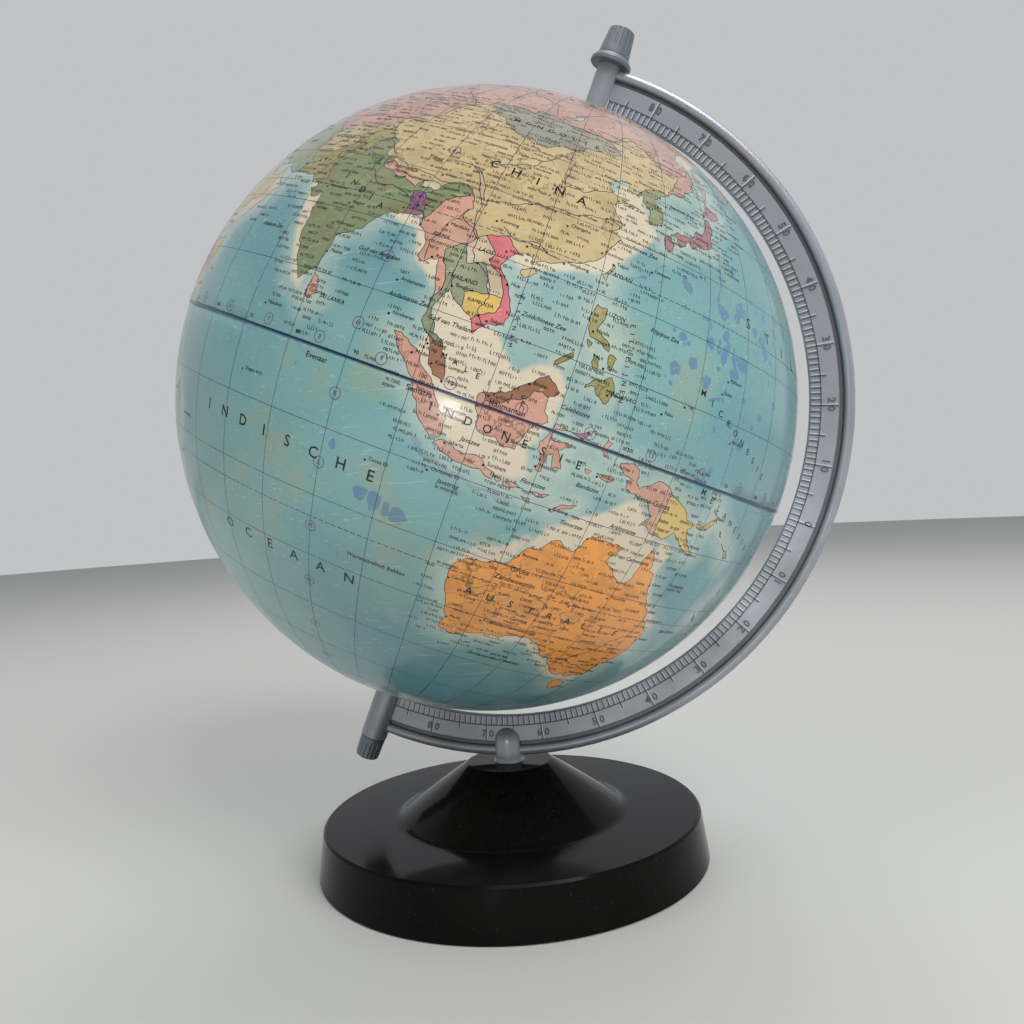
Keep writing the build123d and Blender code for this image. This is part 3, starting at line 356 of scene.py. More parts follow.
# The tint of each country, at a place well inside it.
TINTS = {
    "rose": (196, 152, 140),
    "ochre": (206, 184, 138),
    "slate": (150, 152, 140),
    "leaf": (126, 144, 104),
    "olive": (158, 152, 96),
    "salmon": (214, 160, 142),
    "sage": (138, 152, 122),
    "cream": (214, 196, 168),
    "pink": (218, 120, 128),
    "lemon": (222, 190, 104),
    "brown": (158, 112, 84),
    "orange": (250, 164, 76),
    "mauve": (166, 110, 132),
    "violet": (136, 98, 124),
    "sand": (196, 180, 128),
    "ice": (214, 214, 200),
}
COUNTRIES = [
    (90, 62, "rose"), (62, 42, "rose"), (141.9, 51, "rose"), (60, 75.5, "rose"), (104, 47, "slate"),
    (105, 33, "ochre"), (109.7, 19.2, "ochre"), (121, 23.8, "ochre"), (78, 22, "leaf"),
    (70, 30, "olive"), (66, 33.8, "sand"), (84, 28.3, "salmon"), (90.4, 27.3, "cream"),
    (90, 24.2, "violet"), (96, 21, "salmon"), (101, 15.5, "sage"), (103.8, 18.8, "cream"),
    (105, 12.8, "lemon"), (108.2, 13.5, "pink"), (105.5, 21.3, "pink"), (102.3, 4.5, "brown"),
    (114.8, 3.2, "brown"), (113, -0.5, "salmon"), (102, -1.5, "salmon"), (110, -7.3, "salmon"),
    (120.5, -2, "salmon"), (138, -4.5, "salmon"), (144, -6.5, "lemon"), (150, -5.8, "lemon"),
    (134, -25, "orange"), (146.6, -42, "orange"), (127.3, 40.3, "leaf"), (127.8, 36.5, "leaf"),
    (138, 36.2, "mauve"), (131, 32.6, "mauve"), (133.4, 33.6, "mauve"), (142.8, 43.3, "mauve"),
    (121.2, 17, "olive"), (124.6, 7.6, "olive"), (122.7, 10.8, "olive"), (125, 11.6, "olive"),
    (81, 7.6, "salmon"), (54, 32.5, "sage"), (43.5, 33.5, "lemon"), (45, 24, "sand"),
    (48, 15.8, "cream"), (56.8, 21.5, "salmon"), (33, 39, "ochre"), (38, 34.8, "salmon"),
    (-4, 40, "olive"), (2.5, 46.8, "mauve"), (10.5, 52, "sand"), (12, 43.2, "leaf"),
    (19.5, 52.3, "lemon"), (17, 47.8, "salmon"), (20.5, 43.8, "sage"), (25, 46, "cream"),
    (15, 62.5, "leaf"), (8, 61, "salmon"), (26, 64, "cream"), (-1.5, 52.5, "salmon"),
    (-6, 32, "rose"), (3, 29, "leaf"), (17, 27, "lemon"), (29.5, 26.5, "olive"),
    (30, 14, "salmon"), (18, 15.5, "ochre"), (8, 17.5, "sage"), (8, 9.5, "leaf"), (-2, 17, "sand"),
    (40, 8.5, "mauve"), (46, 3.5, "lemon"), (24, -3, "lemon"), (37, 0.5, "salmon"),
    (35, -6, "sage"), (18, -12, "salmon"), (38, -14, "rose"), (27, -14.5, "olive"),
    (24, -30.5, "ochre"), (17.5, -22.5, "sage"), (23.5, -22.5, "cream"), (12.5, 3.5, "brown"),
    (-10, 14, "salmon"), (-4, 8.5, "cream"), (46.5, -19.5, "leaf"),
    (-100, 58, "salmon"), (-75, 66.5, "salmon"), (-112, 71, "salmon"), (-80, 79.5, "salmon"),
    (-98, 39, "sage"), (-152, 65.5, "sage"), (-102, 24, "lemon"), (-86, 13.5, "rose"),
    (-52, -10, "leaf"), (-65, -35, "lemon"), (-72, -30, "salmon"), (-64, -17, "ochre"),
    (-76, -8.5, "rose"), (-73.5, 4, "salmon"), (-65.5, 7.5, "cream"), (-78.3, -1.5, "olive"),
    (-58, 4, "mauve"), (-42, 73, "cream"), (0, -80, "ice"), (-19, 65, "mauve"),
    (175.5, -39, "leaf"), (170.5, -44, "leaf"), (-79, 21.8, "ochre"), (-55.5, 48.5, "salmon"),
    (128, 1, "salmon"), (129.3, -3.1, "salmon"), (126.7, -3.4, "salmon"), (121, -8.6, "salmon"),
    (118, -8.6, "salmon"), (120, -9.7, "salmon"), (125, -9, "salmon"), (115.1, -8.4, "salmon"),
    (118.6, 9.8, "olive"), (121, 13, "olive"), (124, 10.3, "olive"), (106, -2.3, "salmon"),
]

# Shallow seas, painted cream.
SHELVES = [
    """98.5 4, 99.3 8, 98.5 12, 100 14, 104 11.5, 108.5 9.5, 110 8, 112.5 6, 115.5 7.5, 117.5 8,
    119.8 6, 119.3 3, 119 -1, 118 -3.5, 119 -6.8, 116 -8, 112 -7.5, 108 -6.4, 105.5 -5, 104 -3,
    101 0.5, 99 2.5""",
    """122 -17.5, 124 -13, 127 -10.8, 130 -9.3, 132 -8, 134 -5.5, 136.5 -4.8, 139 -8.5, 143 -8.7,
    146.5 -10.5, 145.5 -14, 141 -18, 136 -16.5, 130 -15, 125 -17""",
    """118 37, 121 41, 125 40, 126.5 35, 128.5 33.5, 127 30, 124 27, 121 24, 118 22.3, 114 20.8,
    110.5 19.5, 107 20, 108 22, 116 24, 120 28, 121 31, 119 35""",
    "86 21.8, 89 20.3, 92 19.6, 94 15.5, 95.5 14.5, 97.8 12, 98.3 9, 98.8 12, 98 17, 94 20, 91 23",
    "113 -22.5, 115.5 -19.5, 119 -17.8, 122 -14.8, 123 -18, 118 -20.8",
    """117 -34.5, 124 -34.2, 131 -32.8, 136 -36.3, 140 -39.3, 146 -41, 149.5 -39.5, 147 -37.5,
    139 -36, 131 -31, 124 -32.5""",
    "68 23, 70.5 19, 72.5 15, 74.8 11, 76.5 8, 78 7, 78.5 9, 74.5 14, 73 20, 70 24",
    "142 -10, 145 -14, 147.5 -18.5, 151.5 -22, 154.3 -25, 152 -25.5, 148 -21.5, 145 -17",
    "138 56, 146 60.5, 157 63, 155 60, 146 57.5, 141 54",
    "-66 -40, -56 -36, -60 -48, -57 -53, -66 -56, -70 -48",
    "-168 55, -160 53.5, -155 58, -163 66, 172 63, 176 60",
    "-5 49, -2 61, 5 62, 9 57, 8 53, 2 50.5",
]
# The South China Sea, painted paler than open water.
PALE_SEA = "103 5, 107 19, 113 21.5, 120.5 22.3, 120.8 14, 118 8, 113 3"
# Trenches, painted dark: the middle line of each.
TRENCHES = [
    "102.5 -6.8, 104.5 -8.6, 108 -9.8, 112 -10.5, 116.5 -11, 119.5 -11.4",
    "126.7 12.5, 127 8, 127.6 4.5",
    "123.5 23.3, 127.5 25.3, 130.6 28.6",
    "142.3 26, 142.6 31, 143.8 37.5, 147.5 42.3, 154 46.8, 160 51",
    "141.5 11.5, 145 12.7, 147.6 17, 146.3 21",
    "150 -6.9, 154 -6.8, 158.5 -9.2",
    "-73 -38, -71.8 -28, -71.6 -20, -77 -15, -81.5 -7",
    "-94 15, -100 16.3, -105 18.2",
    "-175 -17, -174 -20.5",
    "190 51.5, 180 51, 172 52",
]
# Single deep basins: longitude, latitude and radius in degrees.
BASINS = [
    (91.5, -11.8, 0.8), (97.2, -17, 1.3), (99.4, -17.4, 1.4), (101.6, -18, 1.2), (103.6, -18.4, 1.2),
    (123, 3.2, 1.6), (120, 14.5, 1.4),
]
# Scattered small basins: longitude, latitude, reach in degrees and how many.
BASIN_FIELDS = [(146, 19, 14, 46), (155, 30, 12, 14), (150, 5, 8, 6), (-30, 20, 20, 14), (-140, 20, 30, 24)]

GRID_STEP = 2
POLE_EDGE = 88.2                        # the printed skin ends here, round the axle
NEAR_COAST = 1.3                        # a frontier's end this close to a coast is carried across it,
COAST_OVERRUN = 1.6                     # by this much
SHORE_REACH = 6                         # the sea is pale this far from a coast
PALE_SEA_SHADE = 0.7                    # how pale the South China Sea is, where a coast is 1
SHELF_FADE = 4                          # the edge of a shallow sea is this wide


def pairs(text):
    """Read an outline written as longitude and latitude pairs."""
    return [tuple(float(number) for number in pair.split()) for pair in text.split(",")]


def roughen(points, closed, seed):
    """Break the straight stretches of an outline into small natural bends."""
    chance = random.Random(seed)
    for _ in range(2):
        ends = points[1:] + points[:1] if closed else points[1:]
        finer = []
        for start, end in zip(points, ends):
            finer.append(start)
            east = end[0] - start[0]
            up = end[1] - start[1]
            if math.hypot(east, up) > 0.7 and min(start[1], end[1]) > -88:
                bend = chance.uniform(-0.15, 0.15)
                finer.append(((start[0] + end[0]) / 2 - up * bend, (start[1] + end[1]) / 2 + east * bend))
        if not closed:
            finer.append(points[-1])
        points = finer
    return points


coast_lines = [roughen(pairs(text), True, seed) for seed, text in enumerate(COASTS.values())]
lake_lines = [roughen(pairs(text), True, seed) for seed, text in enumerate(LAKES.values())]
pale_sea_line = pairs(PALE_SEA)
river_lines = [roughen(pairs(text), False, seed) for seed, text in enumerate(RIVERS)]
border_lines = [roughen(pairs(text), False, seed) for seed, text in enumerate(BORDERS)]
shelf_lines = [pairs(text) for text in SHELVES]


def basin(lon, lat, radius, chance):
    """The uneven outline of a deep basin."""
    outline = []
    stretch = chance.uniform(0.5, 1.4)
    for i in range(11):
        angle = math.tau * i / 11
        reach = radius * chance.uniform(0.7, 1.2)
        outline.append((lon + reach * stretch * math.cos(angle), lat + reach * math.sin(angle)))
    return outline


def trench(line, chance):
    """The outline of a narrow trench along a middle line."""
    near = []
    far = []
    for lon, lat in roughen(pairs(line), False, 5):
        half = chance.uniform(0.25, 0.55)
        near.append((lon - half, lat - half))
        far.insert(0, (lon + half * 0.6, lat + half * 0.6))
    return near + far


deep_chance = random.Random(11)
deep_lines = [trench(line, deep_chance) for line in TRENCHES]
deep_lines += [basin(lon, lat, radius, deep_chance) for lon, lat, radius in BASINS]
for lon, lat, reach, count in BASIN_FIELDS:
    for _ in range(count):
        place = (lon + deep_chance.uniform(-reach, reach), lat + deep_chance.uniform(-reach, reach) * 0.7)
        deep_lines.append(basin(*place, deep_chance.uniform(0.3, 1.1), deep_chance))


def unit(lon, lat):
    """Direction of a place on a sphere, for distances between places."""
    east = math.radians(lon)
    up = math.radians(lat)
    return Vector((math.cos(up) * math.cos(east), math.cos(up) * math.sin(east), math.sin(up)))


def stepped(points, step=1.2):
    """Add points to a line so that it keeps to the sphere."""
    line = [points[0]]
    for start, end in zip(points, points[1:]):
        count = max(1, math.ceil(math.dist(start, end) / step))
        for i in range(1, count + 1):
            share = i / count
            line.append((start[0] + (end[0] - start[0]) * share, start[1] + (end[1] - start[1]) * share))
    return line


def nearest(lines):
    """A search tree of the places on some lines."""
    places = [place for line in lines for place in stepped(line + line[:1], 0.5)]
    tree = KDTree(len(places))
    for index, place in enumerate(places):
        tree.insert(unit(*place), index)
    tree.balance()
    return tree


shore = nearest(coast_lines + lake_lines)
shelf_edge = nearest(shelf_lines)


def distance(tree, lon, lat):
    """Distance to the nearest place of a search tree, in degrees."""
    return math.degrees(tree.find(unit(lon, lat))[2])


def inside(line, lons, lats):
    """Which of many places are inside a closed outline."""
    odd = np.zeros(len(lons), bool)
    for (lon0, lat0), (lon1, lat1) in zip(line, line[1:] + line[:1]):
        if lat0 != lat1:
            crossing = (lat0 > lats) != (lat1 > lats)
            odd ^= crossing & (lons < lon0 + (lats - lat0) * (lon1 - lon0) / (lat1 - lat0))
    return odd


def to_coast(line):
    """Carry the ends of a frontier that stop near a coast across it."""
    longer = list(line)
    for end, inner in ((0, 1), (-1, -2)):
        here = Vector(line[end])
        if distance(shore, *here) < NEAR_COAST:
            beyond = here + (here - Vector(line[inner])).normalized() * COAST_OVERRUN
            longer.insert(0 if end == 0 else len(longer), tuple(beyond))
    return longer


def triangulate():
    """Divide the flat map into triangles that keep to every coast, frontier and the equator."""
    places = []
    edges = []

    def add(points, closed=False):
        first = len(places)
        places.extend(points)
        edges.extend((first + i, first + i + 1) for i in range(len(points) - 1))
        if closed:
            edges.append((first + len(points) - 1, first))

    for line in coast_lines + lake_lines:
        add(line, closed=True)
    for line in border_lines:
        add(to_coast(line))
    fence_count = len(edges)
    for line in deep_lines:
        add(line, closed=True)
    for lat, count in ((0, 180), (POLE_EDGE, 36), (-POLE_EDGE, 36)):
        add([(WEST_CUT + 360 * i / count, lat) for i in range(count + 1)])
    for lat in range(-86, 87, GRID_STEP):
        count = next(n for limit, n in ((50, 180), (66, 120), (78, 60), (90, 36)) if abs(lat) < limit)
        if lat:
            places.extend((WEST_CUT + 360 * i / count, lat) for i in range(count + 1))
    for lat in range(-65, 78):
        for column in range(360):
            place = (WEST_CUT + 0.5 + column, lat + 0.5)
            if distance(shore, *place) < 3 or abs(place[0] - 112) < 42 and abs(place[1]) < 32:
                places.append(place)
    flat = [Vector(place) for place in places]
    corners, edges, faces, _, edge_origins, _ = delaunay_2d_cdt(flat, edges, [], 0, 1e-7)
    fences = set()
    for (start, end), origins in zip(edges, edge_origins):
        if any(origin < fence_count for origin in origins):
            fences.add((min(start, end), max(start, end)))
    return corners, faces, fences


def sides(face):
    """The three sides of a triangle, each as an ordered pair of corners."""
    return [(min(a, b), max(a, b)) for a, b in zip(face, face[1:] + face[:1])]


def colour_countries(corners, faces, fences):
    """The paint of each triangle: its country's tint on land, else whether it lies in deep sea."""
    middles = np.array([[sum(corners[c][k] for c in face) / 3 for k in (0, 1)] for face in faces])
    lons = middles[:, 0]
    lats = middles[:, 1]
    land = np.zeros(len(faces), bool)
    for line in coast_lines:
        land |= inside(line, lons, lats)
    for line in lake_lines:
        land &= ~inside(line, lons, lats)
    deep = np.zeros(len(faces), bool)
    for line in deep_lines:
        deep |= inside(line, lons, lats)
    beside = {}
    for number, face in enumerate(faces):
        if land[number]:
            for side in sides(face):
                beside.setdefault(side, []).append(number)
    region = {}
    tint_of_region = []
    names = list(TINTS)

    def fill(start, tint):
        tint_of_region.append(TINTS[tint])
        waiting = [start]
        region[start] = len(tint_of_region) - 1
        while waiting:
            number = waiting.pop()
            for side in sides(faces[number]):
                if side in fences:
                    continue
                for other in beside[side]:
                    if other not in region:
                        region[other] = region[start]
                        waiting.append(other)

    land_numbers = np.flatnonzero(land)
    for lon, lat, tint in COUNTRIES:
        away = (lons[land] - lon) ** 2 + (lats[land] - lat) ** 2
        nearest = int(land_numbers[int(np.argmin(away))])
        if nearest not in region:
            fill(nearest, tint)
    for number in land_numbers.tolist():
        if number not in region:
            fill(number, names[number % len(names)])
    paints = []
    for number in range(len(faces)):
        if land[number]:
            paints.append((*paint(*tint_of_region[region[number]])[:3], 1))
        else:
            paints.append((0, 0, 0, 0.5 if deep[number] else 0))
    return paints


def linear(channel):
    """A screen colour value, 0 to 255, as a light value."""
    share = channel / 255
    return share / 12.92 if share < 0.04045 else ((share + 0.055) / 1.055) ** 2.4


def paint(red, green, blue):
    """A screen colour as the four numbers a shader takes."""
    return (linear(red), linear(green), linear(blue), 1)


# ==== Materials =================================================================================


def make_age_group():
    """Marks of use, shared by every material: soft mottling, fine scratches, dust specks and grain."""
    group = bpy.data.node_groups.new("age", "ShaderNodeTree")
    group.interface.new_socket("Scale", in_out="INPUT", socket_type="NodeSocketFloat")
    for name in ("Mottle", "Scratch", "Speck", "Grain"):
        group.interface.new_socket(name, in_out="OUTPUT", socket_type="NodeSocketFloat")
    nodes = group.nodes
    link = group.links.new
    given = nodes.new("NodeGroupInput")
    result = nodes.new("NodeGroupOutput")
    place = nodes.new("ShaderNodeTexCoord")

    def noise(factor, detail, stretch=None, turn=(0, 0, 0)):
        """A noise pattern whose scale is a multiple of the group's Scale."""
        scale = nodes.new("ShaderNodeMath")
        scale.operation = "MULTIPLY"
        scale.inputs[1].default_value = factor
        link(given.outputs["Scale"], scale.inputs[0])
        pattern = nodes.new("ShaderNodeTexNoise")
        pattern.inputs["Detail"].default_value = detail
        link(scale.outputs[0], pattern.inputs["Scale"])
        if stretch:
            mapping = nodes.new("ShaderNodeMapping")
            mapping.inputs["Scale"].default_value = stretch
            mapping.inputs["Rotation"].default_value = turn
            link(place.outputs["Object"], mapping.inputs["Vector"])
            link(mapping.outputs[0], pattern.inputs["Vector"])
        else:
            link(place.outputs["Object"], pattern.inputs["Vector"])
        return pattern.outputs["Fac"]

    def between(value, low, high):
        """Stretch the part of a pattern between two levels to the range 0 to 1."""
        span = nodes.new("ShaderNodeMapRange")
        span.inputs["From Min"].default_value = low
        span.inputs["From Max"].default_value = high
        link(value, span.inputs["Value"])
        return span.outputs[0]

    link(between(noise(1, 5), 0.35, 0.68), result.inputs["Mottle"])
    streaks = None
    for turn in ((0.4, 0.9, 0.2), (1.3, 0.2, 1.0)):
        layer = between(noise(1.5, 2, (1, 50, 50), turn), 0.66, 0.72)
        if streaks:
            both = nodes.new("ShaderNodeMath")
            both.operation = "MAXIMUM"
            link(streaks, both.inputs[0])
            link(layer, both.inputs[1])
            layer = both.outputs[0]
        streaks = layer
    link(streaks, result.inputs["Scratch"])
    link(between(noise(40, 2), 0.68, 0.74), result.inputs["Speck"])
    link(noise(90, 3), result.inputs["Grain"])
    return group


age_group = make_age_group()


class Finish:
    """A material under construction: its shader, its marks of use and shorthands for its nodes."""

    def __init__(self, name, age_scale):
        self.material = bpy.data.materials.new(name)
        self.material.use_nodes = True
        self.nodes = self.material.node_tree.nodes
        self.link = self.material.node_tree.links.new
        self.shader = self.nodes["Principled BSDF"]
        self.age = self.nodes.new("ShaderNodeGroup")
        self.age.node_tree = age_group
        self.age.inputs["Scale"].default_value = age_scale

    def set(self, socket, value):
        """Set a plain value on one of the shader's sockets."""
        self.shader.inputs[socket].default_value = value

    def feed(self, value, socket):
        """Drive one of the shader's sockets."""
        self.link(value, self.shader.inputs[socket])

    def colour(self, value):
        """A constant colour."""
        node = self.nodes.new("ShaderNodeRGB")
        node.outputs[0].default_value = value
        return node.outputs[0]

    def mix(self, factor, first, second, strength=1.0):
        """Mix two colours by a pattern, up to a strength."""
        node = self.nodes.new("ShaderNodeMix")
        node.data_type = "RGBA"
        self.link(self.scaled(factor, 0, strength), node.inputs[0])
        self.link(first, node.inputs[6])
        self.link(second, node.inputs[7])
        return node.outputs[2]

    def stain(self, factor, body, tint, strength=1.0):
        """Mix a screen colour into a colour by a pattern, up to a strength."""
        return self.mix(factor, body, self.colour(paint(*tint)), strength)

    def scaled(self, value, low, high):
        """Map a 0 to 1 pattern to another range."""
        node = self.nodes.new("ShaderNodeMapRange")
        node.inputs["To Min"].default_value = low
        node.inputs["To Max"].default_value = high
        self.link(value, node.inputs["Value"])
        return node.outputs[0]

    def step(self, value, low, high):
        """Stretch the part of a pattern between two levels to the range 0 to 1."""
        node = self.nodes.new("ShaderNodeMapRange")
        node.inputs["From Min"].default_value = low
        node.inputs["From Max"].default_value = high
        self.link(value, node.inputs["Value"])
        return node.outputs[0]

    def noise(self, scale, detail):
        """A noise pattern on the piece."""
        place = self.nodes.new("ShaderNodeTexCoord")
        node = self.nodes.new("ShaderNodeTexNoise")
        node.inputs["Scale"].default_value = scale
        node.inputs["Detail"].default_value = detail
        self.link(place.outputs["Object"], node.inputs["Vector"])
        return node.outputs["Fac"]

    def math(self, operation, first, second):
        """Combine a pattern with another pattern or a number."""
        node = self.nodes.new("ShaderNodeMath")
        node.operation = operation
        node.use_clamp = True
        self.link(first, node.inputs[0])
        if isinstance(second, (int, float)):
            node.inputs[1].default_value = second
        else:
            self.link(second, node.inputs[1])
        return node.outputs[0]

    def groove(self, inner, outer, half_depth):
        """A mask for painted shade round the arm, between its band and its bead: between two distances from
        its centre, near its plane.
        """
        place = self.nodes.new("ShaderNodeTexCoord")
        away = self.nodes.new("ShaderNodeVectorMath")
        away.operation = "DISTANCE"
        away.inputs[1].default_value = CENTRE
        self.link(place.outputs["Object"], away.inputs[0])
        axes = self.nodes.new("ShaderNodeSeparateXYZ")
        self.link(place.outputs["Object"], axes.inputs[0])
        depth = self.math("ABSOLUTE", axes.outputs[1], 0)
        start = self.step(away.outputs["Value"], inner - 0.1 * MM, inner + 0.1 * MM)
        end = self.scaled(self.step(away.outputs["Value"], outer - 0.8 * MM, outer), 1, 0)
        sunk = self.scaled(self.step(depth, half_depth, half_depth + 0.3 * MM), 1, 0)
        return self.math("MULTIPLY", self.math("MULTIPLY", start, end), sunk)

    def bump(self, height, distance, strength=1.0):
        """Raise the surface by a pattern."""
        node = self.nodes.new("ShaderNodeBump")
        node.inputs["Distance"].default_value = distance
        node.inputs["Strength"].default_value = strength
        self.link(height, node.inputs["Height"])
        self.feed(node.outputs[0], "Normal")


MATERIALS = {}
# The groove beside the rim bead of the arm, darkened with painted shade: where it starts and ends from the
# globe's centre, and how far it reaches from the arm's middle plane.
ARM_GROOVE_SHADE = (147 * MM, 149.6 * MM, 2.1 * MM)


def worn(name, colour, faded, roughness, spread, age_scale=30, metallic=0, coat=0, marks=0.3, grain=0.02,
         shine=0.5, groove=None):
    """Make a plain material with mottled fading, scratches, dust, a fine grain and painted shade beside the
    arm's bead.
    """
    finish = Finish(name, age_scale)
    body = finish.stain(finish.age.outputs["Mottle"], finish.colour(paint(*colour)), faded)
    body = finish.stain(finish.age.outputs["Scratch"], body, faded, marks)
    body = finish.stain(finish.age.outputs["Speck"], body, (168, 165, 156), marks * 0.6)
    # Painted shade: the hollow between the arm's band and its bead is darkened in the colour itself.
    if groove:
        body = finish.stain(finish.groove(*groove), body, (40, 42, 46), 0.7)
    finish.feed(body, "Base Color")
    blur = finish.math("MAXIMUM", finish.age.outputs["Mottle"], finish.age.outputs["Scratch"])
    finish.feed(finish.scaled(blur, roughness, roughness + spread), "Roughness")
    finish.set("Metallic", metallic)
    finish.set("Specular IOR Level", shine)
    finish.set("Coat Weight", coat)
    finish.set("Coat Roughness", 0.08)
    finish.bump(finish.age.outputs["Grain"], grain * MM)
    MATERIALS[name] = finish.material


def make_ink(name, colour):
    """Printing ink: one flat colour with an uneven sheen."""
    finish = Finish(name, 60)
    finish.set("Base Color", colour)
    finish.feed(finish.scaled(finish.age.outputs["Mottle"], 0.22, 0.4), "Roughness")
    finish.set("Coat Weight", 0.5)
    finish.set("Coat Roughness", 0.1)
    return finish.material


def make_print():
    """The varnished map: painted sea floor, tinted countries, yellowed and scratched varnish."""
    finish = Finish("map_print", 14)
    nodes = finish.nodes
    tint = nodes.new("ShaderNodeVertexColor")
    tint.layer_name = "tint"
    sea = nodes.new("ShaderNodeAttribute")
    sea.attribute_name = "sea"
    levels = nodes.new("ShaderNodeSeparateColor")
    finish.link(sea.outputs["Color"], levels.inputs[0])
    coast = levels.outputs[0]
    shelf = levels.outputs[1]

    # Sea floor: soft blue-green, beige along ridges, pale round the coasts, cream in shallow seas.
    broad = finish.noise(11, 4)
    fine = finish.noise(48, 5)
    water = finish.stain(finish.step(broad, 0.4, 0.6), finish.colour(paint(104, 157, 166)), (126, 176, 176))
    ridge = finish.math("MULTIPLY", finish.step(fine, 0.52, 0.64), finish.step(broad, 0.45, 0.6))
    water = finish.stain(ridge, water, (156, 170, 146), 0.5)
    deep = finish.step(tint.outputs["Alpha"], 0.2, 0.3)
    water = finish.stain(deep, water, (84, 130, 166), 0.75)
    bank = finish.math("ADD", coast, finish.scaled(fine, -0.4, 0.3))
    water = finish.stain(finish.step(bank, 0.3, 1.0), water, (188, 206, 194), 0.85)
    shoal = finish.math("ADD", shelf, finish.scaled(fine, -0.4, 0.4))
    water = finish.stain(finish.step(shoal, 0.4, 0.62), water, (226, 212, 186), 0.95)

    # Land: the country's tint, with brownish hill shading.
    heights = finish.noise(95, 6)
    land = finish.stain(finish.step(heights, 0.5, 0.62), tint.outputs["Color"], (120, 86, 56), 0.24)
    contour = finish.math("SUBTRACT", finish.step(heights, 0.5, 0.512), finish.step(heights, 0.518, 0.53))
    broken = finish.math("MULTIPLY", contour, finish.step(broad, 0.46, 0.56))
    land = finish.stain(broken, land, (92, 66, 46), 0.7)
    pale = finish.step(finish.noise(30, 3), 0.5, 0.75)
    land = finish.stain(pale, land, (232, 216, 178), 0.25)
    on_land = finish.step(tint.outputs["Alpha"], 0.7, 0.8)
    print_colour = finish.mix(on_land, water, land)

    # Age: yellowing, pale rubbed scratches and dark specks of dirt.
    print_colour = finish.stain(finish.age.outputs["Mottle"], print_colour, (150, 136, 104), 0.22)
    print_colour = finish.stain(finish.age.outputs["Scratch"], print_colour, (222, 216, 198), 0.3)
    print_colour = finish.stain(finish.age.outputs["Speck"], print_colour, (74, 62, 46), 0.25)
    finish.feed(print_colour, "Base Color")
    blur = finish.math("MAXIMUM", finish.age.outputs["Mottle"], finish.age.outputs["Scratch"])
    finish.feed(finish.scaled(blur, 0.26, 0.44), "Roughness")
    finish.set("Coat Weight", 0.55)
    finish.set("Coat Roughness", 0.12)
    finish.bump(finish.age.outputs["Grain"], 0.03 * MM)
    return finish.material


MATERIALS["printed_shell"] = make_print()
# The silver plastic carries painted shade in the groove beside the arm's bead.
worn("silver_plastic", (168, 172, 181), (150, 152, 160), 0.3, 0.16, metallic=0.5, grain=0.004,
     groove=ARM_GROOVE_SHADE)
# The ticks are painted lighter than the arm's plastic: a painted highlight.
worn("mark_plastic", (206, 210, 216), (180, 184, 190), 0.3, 0.2, metallic=0.3)
# The figures, the ring line and the strips beside the ticks are painted darker than the arm's plastic:
# painted shade.
worn("dark_mark_plastic", (100, 103, 111), (86, 88, 96), 0.4, 0.2, metallic=0.3)
worn("knob_plastic", (128, 136, 144), (100, 106, 112), 0.34, 0.2, metallic=0.4)
worn("black_plastic", (7, 7, 6), (13, 12, 11), 0.07, 0.14, marks=0.08, grain=0.004, shine=0.1)
worn("steel", (150, 152, 152), (110, 108, 104), 0.28, 0.2, metallic=1)
worn("brass", (186, 152, 84), (140, 108, 56), 0.3, 0.2, metallic=1)
worn("iron", (70, 66, 62), (98, 66, 44), 0.5, 0.3, metallic=0.7)
worn("board", (88, 64, 44), (66, 48, 34), 0.6, 0.2, grain=0.06)
worn("felt", (34, 58, 46), (48, 70, 56), 0.9, 0.08, grain=0.2)
worn("bearing_plastic", (214, 208, 194), (190, 180, 160), 0.4, 0.2)
INK = make_ink("dark_ink", paint(30, 30, 44))
LETTER_INK = make_ink("letter_ink", paint(16, 14, 20))
SEA_INK = make_ink("sea_ink", paint(24, 44, 84))
RING_INK = make_ink("ring_ink", paint(104, 52, 112))

for node in frame["record"]["subparts"]:
    frame["nodes"][node["node"]].data.materials.clear()
    frame["nodes"][node["node"]].data.materials.append(MATERIALS[node["material_slot"]])

# ==== Printed skin of the globe =================================================================


def add_object(name, data):
    """Put a mesh, a lamp or a camera in the scene."""
    thing = bpy.data.objects.new(name, data)
    bpy.context.scene.collection.objects.link(thing)
    return thing


def place_piece(mesh, name, body, material):
    """Make a finished mesh a piece of the object that rides on one body."""
    mesh.name = name
    mesh.materials.clear()
    mesh.materials.append(material)
    piece = add_object(name, mesh)
    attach(piece, body)
    return piece


